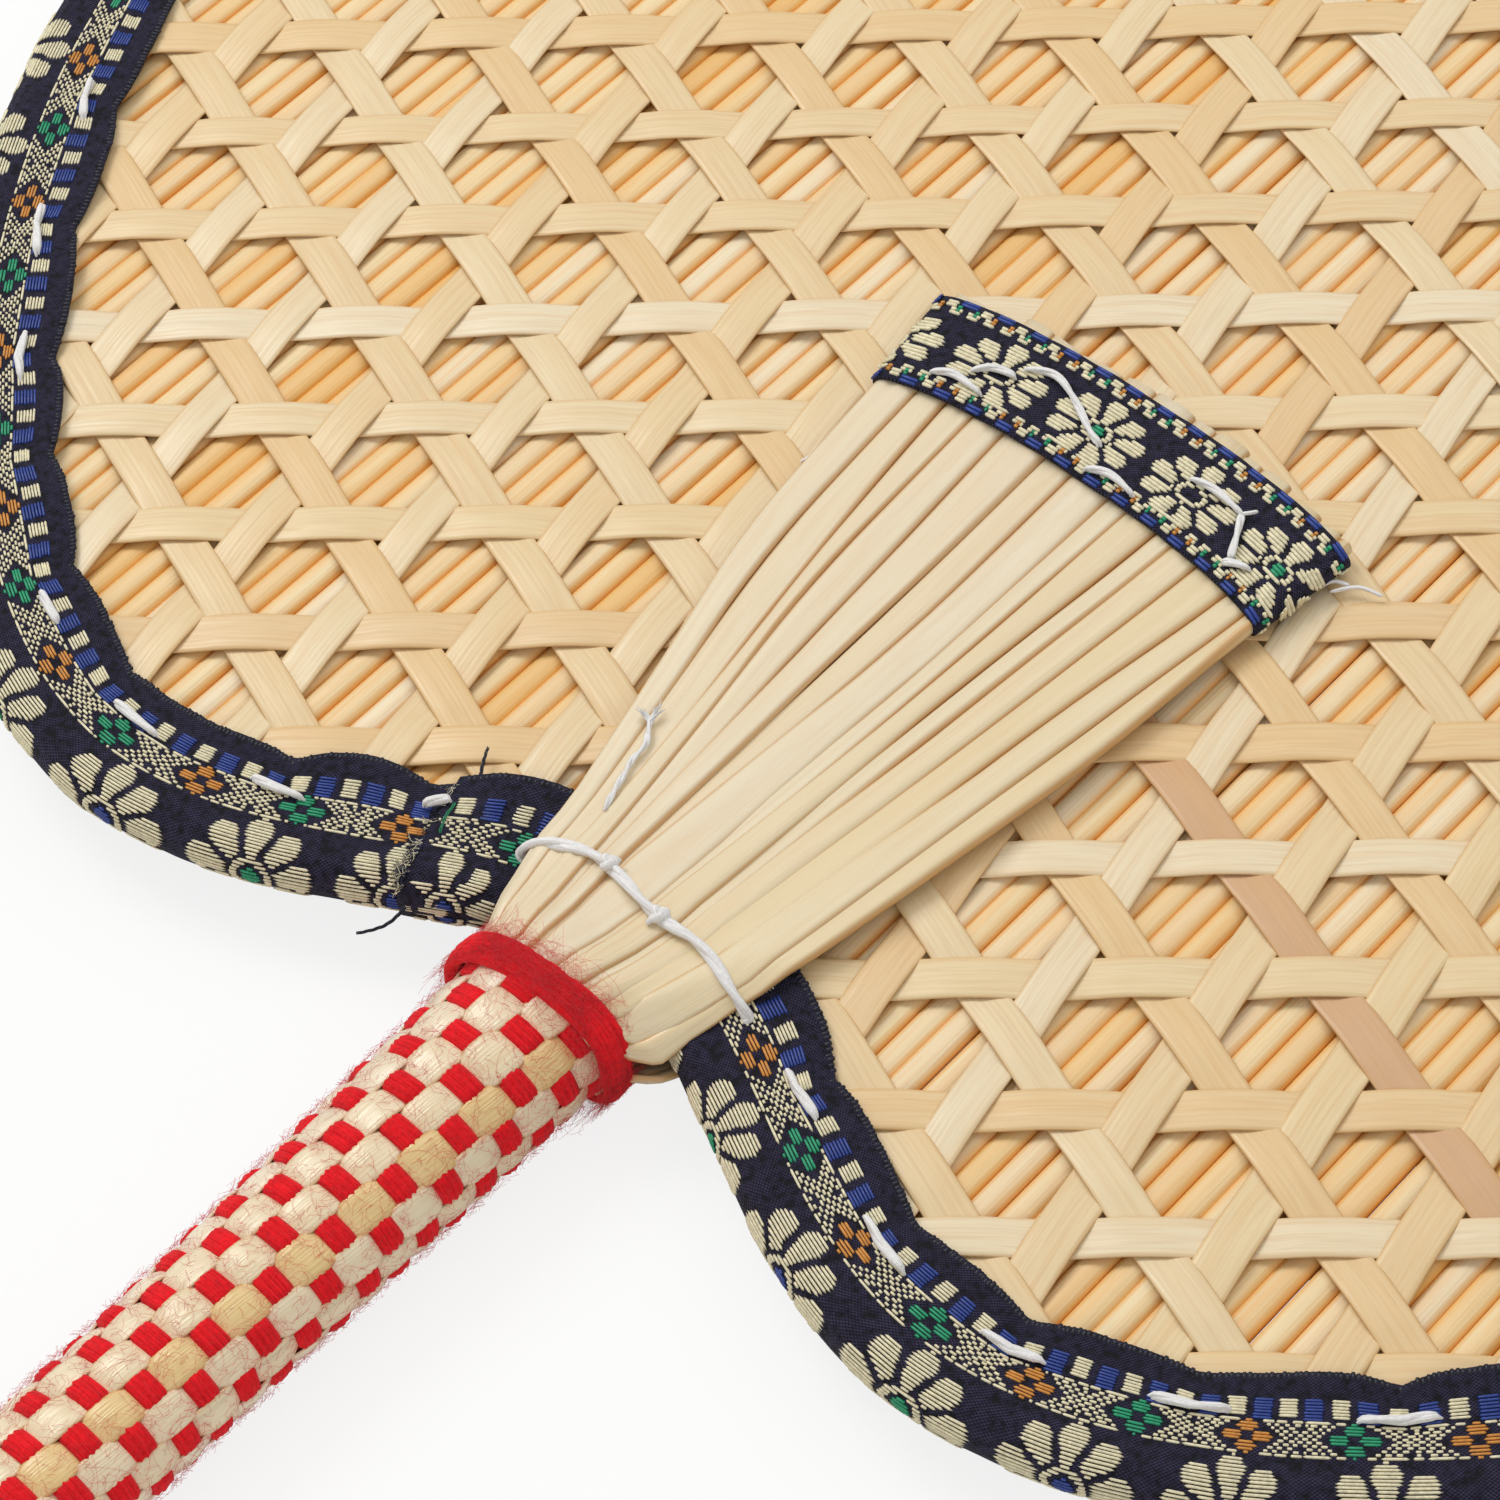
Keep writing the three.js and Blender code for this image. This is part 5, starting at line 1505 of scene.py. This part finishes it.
def band_figure(u, v):
    """The dye of the band's float at each place, or -1 for bare ground."""
    x = u - BAND_MIDDLE
    size = np.abs(v)
    number = np.round((x - BAND_FLOWER) / BAND_FLOWER_PITCH)
    dx = x - BAND_FLOWER - number * BAND_FLOWER_PITCH
    heart = np.where(np.mod(number, 2) == 0, 2, -1)
    dye = daisy(dx * MM * 0.74, (v + BAND_FLOWER_DROP) * MM, 5.0 * MM, heart, 0.34 * MM)
    share = np.mod(x, BAND_BEAT) / BAND_BEAT
    blue = (share < 0.52) & (np.abs(size - 6.55) < 0.5)
    outer = (np.abs(share - 0.78) < 0.16) & (np.abs(size - 6.3) < 0.42)
    inner = (np.abs(np.mod(share + 0.26, 0.5) - 0.25) < 0.16) & (np.abs(size - 5.3) < 0.45)
    spots = (np.mod(share + 0.01, 0.5) < 0.1) & (np.abs(size - 5.65) < 0.45)
    dye = np.where(outer | inner, 0, np.where(blue, 1, dye))
    return np.where(spots, np.where(np.mod(x, 2 * BAND_BEAT) < BAND_BEAT, 2, 3), dye)


def make_band(side, face):
    """One band and its floats. face is 1 in front and -1 behind."""
    rng = np.random.default_rng(110 + face)
    u, v = np.meshgrid(np.linspace(0, BAND_TOTAL, 170), np.linspace(-BAND_CLOTH_HALF, BAND_CLOTH_HALF, 17),
                       indexing="ij")
    points = to_fan(band_place(u, v)) * MM
    found = np.array(drawn_floats(band_figure, 0.2, BAND_TOTAL - 0.2, np.arange(-13.5, 14) * BAND_FLOAT_PITCH,
                                  step=0.16, shortest=0.3))
    start, end, row, dye = found.T
    middle_u = (start + end) / 2
    middle = to_fan(band_place(middle_u, row, CLOTH_THICK / MM / 2 + 0.03)) * MM
    run = band_place(end, row) - band_place(start, row)
    mirror = (1, 1, face)
    cloth_map = np.stack([u, v[:, ::face]], -1) * MM
    cloth = cloth_sheet(f"{side}_band_cloth", points[:, ::face] * mirror, cloth_map)
    settle(cloth, "ribbon", f"{side}_band")
    reach = np.linalg.norm(run, axis=1) * MM + rng.uniform(0.0, 0.15, len(run)) * MM
    settle(lay_floats(f"{side}_band_floats", middle * mirror, run * mirror,
                      facing(band_place, middle_u, row) * mirror, reach, dye, BAND_FLOAT_RADIUS), "ribbon")


make_band("front", 1)
make_band("back", -1)

# %% [markdown]
# ## Ties and loose thread ends
# The same white thread binds the straws just above the collar, and a few careless stitches hold the band.
# They are drawn stitch by stitch, because on the real fan each one falls where the hand put it.

# %% Ties
# All places of the thread are in mm past the collar: right, up and out of the blade.
TIE_PATH = ((-14.3, 11.0, 2.9), (-14.9, 11.2, 3.8), (-14.2, 11.9, 5.0), (-12.6, 12.9, 5.7),
            (-10.1, 14.0, 6.1), (-7.5, 14.7, 6.4), (-4.8, 14.6, 6.6), (-1.5, 14.1, 6.8), (1.7, 13.3, 6.85),
            (4.3, 12.9, 6.8), (6.7, 13.0, 6.75), (9.3, 13.2, 6.6), (12.4, 12.7, 6.3), (15.4, 11.7, 5.8),
            (17.8, 11.0, 4.7), (19.0, 10.8, 3.5), (18.8, 10.7, 2.7))
TIE_PLY = 0.5 * MM
BAND_PLY = 0.34 * MM
TIE_TWIST = (0.26, 16.0)        # mm, how far a ply lies from its thread's middle, and one turn's length
STITCH_TWIST = (0.17, 12.0)
TAIL_TWIST = (0.17, 6.0)
KNOTS = (((-4.6, 14.7, 7.0), 0.6), ((4.5, 13.0, 7.1), 0.66))
KNOT_GIRTH = 0.92
TUFT_FIBRES = 26                # at the cut end of the loose thread
TIE_ENDS = (((-5.2, 14.6, 7.3), (-4.4, 15.2, 7.4), (-3.7, 15.7, 7.1)),
            ((4.6, 13.0, 7.4), (4.3, 12.2, 7.3), (4.1, 11.4, 6.9)),
            ((4.2, 13.0, 7.4), (4.7, 13.6, 7.4), (5.0, 14.1, 7.1)))
TAIL_PATH = ((-15.2, 33.0, 6.0), (-14.1, 31.3, 6.0), (-13.1, 29.8, 5.9), (-12.9, 27.6, 5.9),
             (-12.2, 25.3, 5.9), (-11.4, 22.6, 5.9), (-10.5, 20.2, 5.9))
TUFT_ROOT = (-15.0, 32.6, 6.0)
TUFT_REACHES = ((-1.5, 0.3, 0.4), (-0.3, 1.9, 0.3))
BAND_STITCHES = (((-23.9, 91.2), (-21.3, 92.4), (-17.0, 92.2)), ((-20.3, 94.3), (-18.4, 96.0), (-15.6, 96.9)),
                 ((-16.1, 98.2), (-12.0, 99.7), (-7.7, 98.1), (-3.2, 95.5), (-1.1, 94.8)),
                 ((-0.3, 91.0), (2.7, 91.9), (6.7, 91.3)), ((10.1, 97.4), (13.7, 97.6), (18.3, 96.8)),
                 ((18.0, 97.0), (19.8, 93.6), (21.1, 90.9)), ((20.7, 90.0), (23.7, 91.1)))
LOOSE_ENDS = (((18.2, 96.8, 7.0), (18.9, 97.3, 7.2), (19.3, 98.2, 6.9)),
              ((29.8, 95.6, 3.4), (30.6, 97.6, 3.6), (32.4, 98.4, 3.5)),
              ((31.2, 96.4, 3.3), (33.4, 98.8, 3.5), (36.2, 99.6, 3.3)),
              ((-28.6, 73.2, 3.3), (-28.2, 74.2, 3.6), (-27.6, 75.6, 3.7)))


def band_stitch(places):
    """A stitch that lies on the band, through places in mm, with both ends pulled into the cloth."""
    path = spline(places, 8 * len(places) + 1)
    t = np.linspace(0, 1, len(path))
    z = 6.6 + 0.45 * np.sin(math.pi * t) ** 0.5 - 0.6 * (np.abs(2 * t - 1) > 0.92)
    return np.column_stack([path, z])


def knot(middle, size):
    """A small overhand knot: a path that loops over itself."""
    t = np.linspace(0, 2 * math.pi, 26)
    x = np.sin(t) + 2 * np.sin(2 * t)
    y = np.cos(t) - 2 * np.cos(2 * t)
    return np.array(middle) + size * np.stack([x * 0.42, y * 0.42, -np.sin(3 * t) * 0.5 + 0.2], -1)


def thread_work(side, face):
    """The tie and the stitches on one face. The loose tail and the loose ends are only in front."""
    rng = np.random.default_rng(130 + face)
    tie = plies(spline(TIE_PATH, 150), *TIE_TWIST) + [knot(middle, size) for middle, size in KNOTS]
    tie += [spline(end, 9) for end in TIE_ENDS]
    tie = [to_fan(line * (1, 1, face)) * MM for line in tie]
    girths = [1.0, 1.0, KNOT_GIRTH, KNOT_GIRTH, *[0.8 * g for g in tapered(tie[4:], 0.55, 0.3)]]
    settle(sweep(f"{side}_tie_thread", tie, TIE_PLY, TIE_PLY, cotton_thread, girths=girths, sides=8),
           "thread", f"{side}_tie")
    loose = []
    for places in BAND_STITCHES:
        loose += plies(band_stitch(places), *STITCH_TWIST, turn_angle=rng.uniform(0, 6))
    girths = tapered(loose, 0.4, 0.1)
    if face > 0:
        tail = plies(spline(TAIL_PATH, 40), *TAIL_TWIST) + [spline(end, 12) for end in LOOSE_ENDS]
        girths += [0.72 * g for g in tapered(tail, 0.5, 0.1)]
        loose += tail
        for _ in range(TUFT_FIBRES):
            root = np.array(TUFT_ROOT) + rng.normal(0, 0.15, 3) * (1, 1, 0.2)
            reach = rng.choice(TUFT_REACHES) + rng.normal(0, 0.35, 3) * (1, 1, 0.3)
            loose.append(np.linspace(root, root + reach, 5))
            girths.append(np.linspace(0.35, 0.12, 5))
    loose = [to_fan(line * (1, 1, face)) * MM for line in loose]
    settle(sweep(f"{side}_band_stitches", loose, BAND_PLY, BAND_PLY, cotton_thread, girths=girths, sides=7),
           "thread")


thread_work("front", 1)
thread_work("back", -1)

# %% [markdown]
# ## The woven grip
# The handle's straws run down the outside and red wool is woven through them, over one and under the next.
# Each straw swells where it floats over the wool and dives under it in the next row. The straws wind slowly
# round.

# %% Grip straws
GRIP_TOP_SIZE = (9.95, 7.75)    # mm, half width and half depth of the straws' middle below the collar
GRIP_WAIST_SIZE = (8.85, 6.85)
WAIST_DROP = 58
COLUMNS = 14
YELLOW_COLUMN = 5
ROW_PITCH = 4.3
GRIP_TOP_Y = -1.6               # mm past the collar's middle
FIRST_ROW_Y = -3.5
grip_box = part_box("woven_grip")
GRIP_END_Y = (grip_box[0].y - COLLAR_Y) / MM
WOOL_ROWS = int((FIRST_ROW_Y - GRIP_END_Y) / ROW_PITCH) + 1
TWIST = math.radians(0.45)      # for each mm along the handle
FIRST_COLUMN = math.radians(12.1)
GRIP_STATION = 0.36             # mm between the points of a straw
FLOAT_END = 0.83                # in rows from the middle of a float: where the straw is beneath the wool
DIVE_START = 0.62               # and from where it narrows
DIVE_RAMP = 0.3
GRIP_DEPTH = 1.2                # mm, how far beneath the grip's surface a straw dives
GRIP_ARCH = 1.3                 # and how much higher it floats
GRIP_HALF_THICK = 0.24


def grip_place(angle, y, off):
    """Points in mm on the grip: angle from its left over the front, y past the collar, off its surface."""
    share = np.clip((GRIP_TOP_Y - y) / WAIST_DROP, 0, 1)
    share = share * share * (3 - 2 * share)
    sizes = zip(GRIP_TOP_SIZE, GRIP_WAIST_SIZE)
    half_width, half_depth = (top + (waist - top) * share for top, waist in sizes)
    c, s = -np.cos(angle), np.sin(angle)
    nx, nz = c / half_width, s / half_depth
    size = np.hypot(nx, nz)
    return np.stack([c * half_width + nx / size * off, y + 0 * angle, s * half_depth + nz / size * off], -1)


def column_angle(column, y):
    """Where the middle of a straw is, round the grip."""
    return FIRST_COLUMN + column * 2 * math.pi / COLUMNS + TWIST * (y - GRIP_TOP_Y)


def straw_rows(column, y):
    """Rows of wool from the middle of this straw's nearest float: 0 on the float, 1 where the straw dives."""
    rows = (FIRST_ROW_Y - y) / ROW_PITCH + column % 2
    return np.abs(np.mod(rows + 1, 2) - 1)


def grip_straw(column, rng):
    """One straw of the grip: it arches over a row of wool, narrows and dives beneath the next."""
    y = np.arange(GRIP_TOP_Y, GRIP_END_Y, -GRIP_STATION)
    away = straw_rows(column, y + 0.25 * soft_noise(y, 160 + column, 9))
    arch = np.sqrt(np.clip(1 - (away / FLOAT_END) ** 2, 0, 1))
    dive = np.clip((away - DIVE_START) / DIVE_RAMP, 0, 1)
    beat = np.floor((FIRST_ROW_Y - y) / ROW_PITCH / 2 + 0.5 * (column % 2) + 0.5).astype(int)
    swell = rng.normal(0, 1, beat.max() + 3)[beat]
    angle = column_angle(column, y) + 0.012 * soft_noise(y, 170 + column, 9)
    half = (math.pi / COLUMNS) * (0.9 + (0.27 + 0.05 * swell) * arch - 0.14 * dive)
    tilt = 0.05 * soft_noise(y, 190 + column, 5)
    x, z = straw_section(16, rng.uniform(-0.5, 0.5))
    angle, half, arch, swell, tilt, y = (value[:, None] for value in (angle, half, arch, swell, tilt, y))
    crown = 0.1 * arch * (1 - x ** 2) + 0.08 * x ** 2
    off = -GRIP_DEPTH + (GRIP_ARCH + 0.08 * swell) * arch + z * GRIP_HALF_THICK + crown + tilt * x * 3
    return grip_place(angle - x * half, y, off)


# The hand has polished these straws, so their ribs catch the light in fine streaks.
GRIP_SHADES = ((0.0, "#F4E8CC"), (0.35, "#F0DEB8"), (0.7, "#F6EAD2"), (1.0, "#ECCD90"))
polished_straw = strand_material(
    "polished_wheat_straw", GRIP_SHADES, "#D9B67C", "#CF9344", 0.8 * SPRAY_STRAW_HALF, SPRAY_STRAW_HALF,
    fibre=0.24, edge=0.5, streak=0.14, roughness=0.22, relief=0.75, coat=0.15, vein=0.42 * MM, slit=0.05)

rng = np.random.default_rng(150)
columns = [to_fan(grip_straw(k, rng)) for k in range(COLUMNS)]
shades = rng.uniform(0, 0.8, COLUMNS)
shades[YELLOW_COLUMN] = 1.0
settle(tubes_piece("grip_straws", columns, shades, polished_straw), "straw", "woven_grip")

# %% [markdown]
# The wool passes round the grip in level rows. Its height off the surface is the reverse of the straws':
# out where a straw dives, in where a straw floats. Three soft strands side by side make each row.

# %% Red wool
WOOL_RADIUS = 0.86 * MM
WOOL_LANE = 0.74                # mm between the strands of a row
POINTS_PER_COLUMN = 14
red_wool = yarn_material("red_wool", "#FB1C26", "#CC0E19", 3.5 * MM, 0.05, 0.95, loft=0.9)
# The hairs' red is paler and pinker than the wool's: painted light, for the light that passes through thin
# fibres.
wool_hair_with_painted_glow = yarn_material("red_wool_hair", "#E8484F", "#C02A32", 3 * MM, 0.0, 1.0, loft=0.0)


def wool_row(row, lane):
    """The path of one strand of a row of wool round the grip, in mm."""
    y = FIRST_ROW_Y - row * ROW_PITCH
    angle = np.linspace(0, 2 * math.pi, POINTS_PER_COLUMN * COLUMNS, endpoint=False)
    column = (angle - FIRST_COLUMN - TWIST * (y - GRIP_TOP_Y)) / (2 * math.pi / COLUMNS)
    share = column - np.round(column)
    odd = np.mod(np.round(column) + row, 2)
    out = np.clip((0.5 - np.abs(share)) / 0.16, 0, 1)
    out = out * out * (3 - 2 * out)
    off = np.where(odd == 1, -0.95 + 0.75 * out, -1.0 - 0.35 * out)
    wander = 0.12 * soft_noise(np.sin(angle) * 9, 180 + 3 * row + lane, 3)
    return to_fan(grip_place(angle, y + lane * WOOL_LANE + wander, off - 0.12 * abs(lane))) * MM


lines = [wool_row(row, lane) for row in range(WOOL_ROWS) for lane in (-1, 0, 1)]
settle(sweep("wool_rows", lines, WOOL_RADIUS, WOOL_RADIUS, red_wool, sides=6, closed_lines=True), "yarn")

# %% Collars
COLLAR_BOW = 1.1                # mm, how much lower a collar lies at its sides than in front
COLLAR_TILT = 0.35              # and how far its right end rises
COLLAR_LANES = (-1.35, -0.8, -0.27, 0.27, 0.8, 1.35)
COLLAR_ROUNDNESS = 2.6          # the power of its superellipse
COLLAR_STRAND = (0.8 * MM, 0.72 * MM)   # half width and half height
COLLAR_POINTS = 160
NECK_WOOL_Y = -1.5              # mm, the middle of the upper collar's wool
NECK_WOOL_SIZE = (10.9, 7.6)    # mm, half width and half depth
FOOT_WOOL_SIZE = (9.3, 7.3)


def collar_ring(y, half_width, half_depth, rng):
    """One turn of wool, in mm."""
    angle = np.linspace(0, 2 * math.pi, COLLAR_POINTS, endpoint=False)
    c, s = np.cos(angle), np.sin(angle)
    ring_x = np.sign(c) * np.abs(c) ** (2 / COLLAR_ROUNDNESS) * half_width
    ring_z = np.sign(s) * np.abs(s) ** (2 / COLLAR_ROUNDNESS) * half_depth
    wave = 0.22 * np.sin(angle + rng.uniform(0, 6))
    wave = wave + 0.12 * soft_noise(np.sin(angle) * 9, rng.integers(999), 3)
    return np.stack([ring_x, y + wave - COLLAR_BOW * (1 - np.abs(s)) + COLLAR_TILT * c, ring_z], -1)


def collar(name, node, middle_y, size, rng):
    """Turns of wool side by side, fullest in the middle."""
    lines = []
    for y in COLLAR_LANES:
        bulge = 0.5 * math.cos(y / 1.6) + 0.06 * rng.normal()
        lines.append(collar_ring(middle_y + y, size[0] + bulge, size[1] + bulge, rng) * MM)
    settle(sweep(name, lines, *COLLAR_STRAND, red_wool, sides=9, closed_lines=True), "yarn", node)


rng = np.random.default_rng(152)
collar("neck_wool", "upper_collar", COLLAR_Y / MM + NECK_WOOL_Y, NECK_WOOL_SIZE, rng)
foot_low, foot_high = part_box("lower_collar")
collar("foot_wool", "lower_collar", (foot_low.y + foot_high.y) / 2 / MM, FOOT_WOOL_SIZE, rng)

# %% [markdown]
# Wool is hairy. Fine red hairs stand off the rows and lie across the pale straws, and they blur the red in
# the photograph. They are swept as very thin bent lines, rooted on the wool.

# %% Wool hairs
HAIR_ROOT = 0.35                # mm off the grip
COLLAR_STAND = 1.5              # mm, how much further out the collar's wool lies
GRIP_RADIUS = 9.3               # mm, near enough to turn a length round the grip into an angle
# Name, number, least and greatest length in mm, joints, the share on the collar, and radius in mm.
HAIRS = (("short_wool_hairs", 9000, 0.8, 2.4, 4, 0.0, 0.017),
         ("collar_wool_hairs", 2600, 1.2, 3.8, 8, 1.0, 0.014),
         ("long_wool_hairs", 1300, 3.0, 8.0, 9, 0.35, 0.015))


def wool_hairs(count, shortest, longest, joints, collar_share, rng):
    """Bent hairs rooted in the rows of wool and on the upper collar."""
    lines = []
    for _ in range(count):
        on_collar = rng.uniform() < collar_share
        row = rng.integers(0, WOOL_ROWS)
        y = FIRST_ROW_Y - row * ROW_PITCH + rng.choice((-1.5, 1.5)) + rng.normal(0, 0.5)
        angle = rng.uniform(0, 2 * math.pi)
        if on_collar:
            y = NECK_WOOL_Y + rng.uniform(-2.2, 2.3) - COLLAR_BOW * (1 - abs(math.sin(angle)))
        length = rng.uniform(shortest, longest)
        turn_now = rng.uniform(0, 2 * math.pi) + rng.normal(0, 0.28 * joints) * np.linspace(0, 1, joints)
        dy = np.cumsum(np.cos(turn_now)) * length / joints
        da = np.cumsum(np.sin(turn_now)) * length / joints / GRIP_RADIUS
        stand = HAIR_ROOT + rng.uniform(0.1, 0.9) * np.linspace(0.2, 1, joints)
        stand = stand + (COLLAR_STAND if on_collar else 0.0)
        lines.append(to_fan(grip_place(angle + da, y + dy, stand)) * MM)
    return lines


rng = np.random.default_rng(153)
for name, *how, radius in HAIRS:
    lines = wool_hairs(*how, rng)
    settle(sweep(name, lines, radius * MM, radius * MM, wool_hair_with_painted_glow, sides=3), "yarn")

# %% [markdown]
# ## The handle's foot
# The bundle of straws inside the grip shows at its cut end: a packed oval of small hollow tubes.

# %% Bundle
BUNDLE_HALF_WIDTH = 7.3         # mm, to the middle of the outermost tubes
BUNDLE_HALF_DEPTH = 5.3
TUBE_PITCH = 2.28
TUBE_RADIUS = 1.12
TUBE_SIDES = 10
TUBE_TOP = 16.0                 # hidden in the grip
LATTICE = range(-8, 9)


def bundle_tube(x, z, radius, low):
    """A hollow straw with a dark open end, in mm."""
    angles = np.linspace(0, 2 * math.pi, TUBE_SIDES, endpoint=False)
    rings = []
    for y, share in ((TUBE_TOP, 1), (low + 0.4, 1), (low, 0.96), (low, 0.6), (low + 3.5, 0.5)):
        r = radius * share
        rings.append(np.stack([x + r * np.cos(angles), np.full_like(angles, y), z + r * np.sin(angles)], -1))
    return np.array(rings)


rng = np.random.default_rng(154)
places = [((column + row % 2 / 2) * TUBE_PITCH, row * TUBE_PITCH * math.sqrt(3) / 2)
          for row in LATTICE for column in LATTICE]
tubes = [bundle_tube(x, z, TUBE_RADIUS * rng.uniform(0.9, 1.02), rng.uniform(0, 0.3)) for x, z in places
         if (x / BUNDLE_HALF_WIDTH) ** 2 + (z / BUNDLE_HALF_DEPTH) ** 2 < 1]
bundle = tubes_piece("straw_bundle", tubes, rng.uniform(0, 1, len(tubes)), wheat_straw)
settle(bundle, "straw", "handle_core")
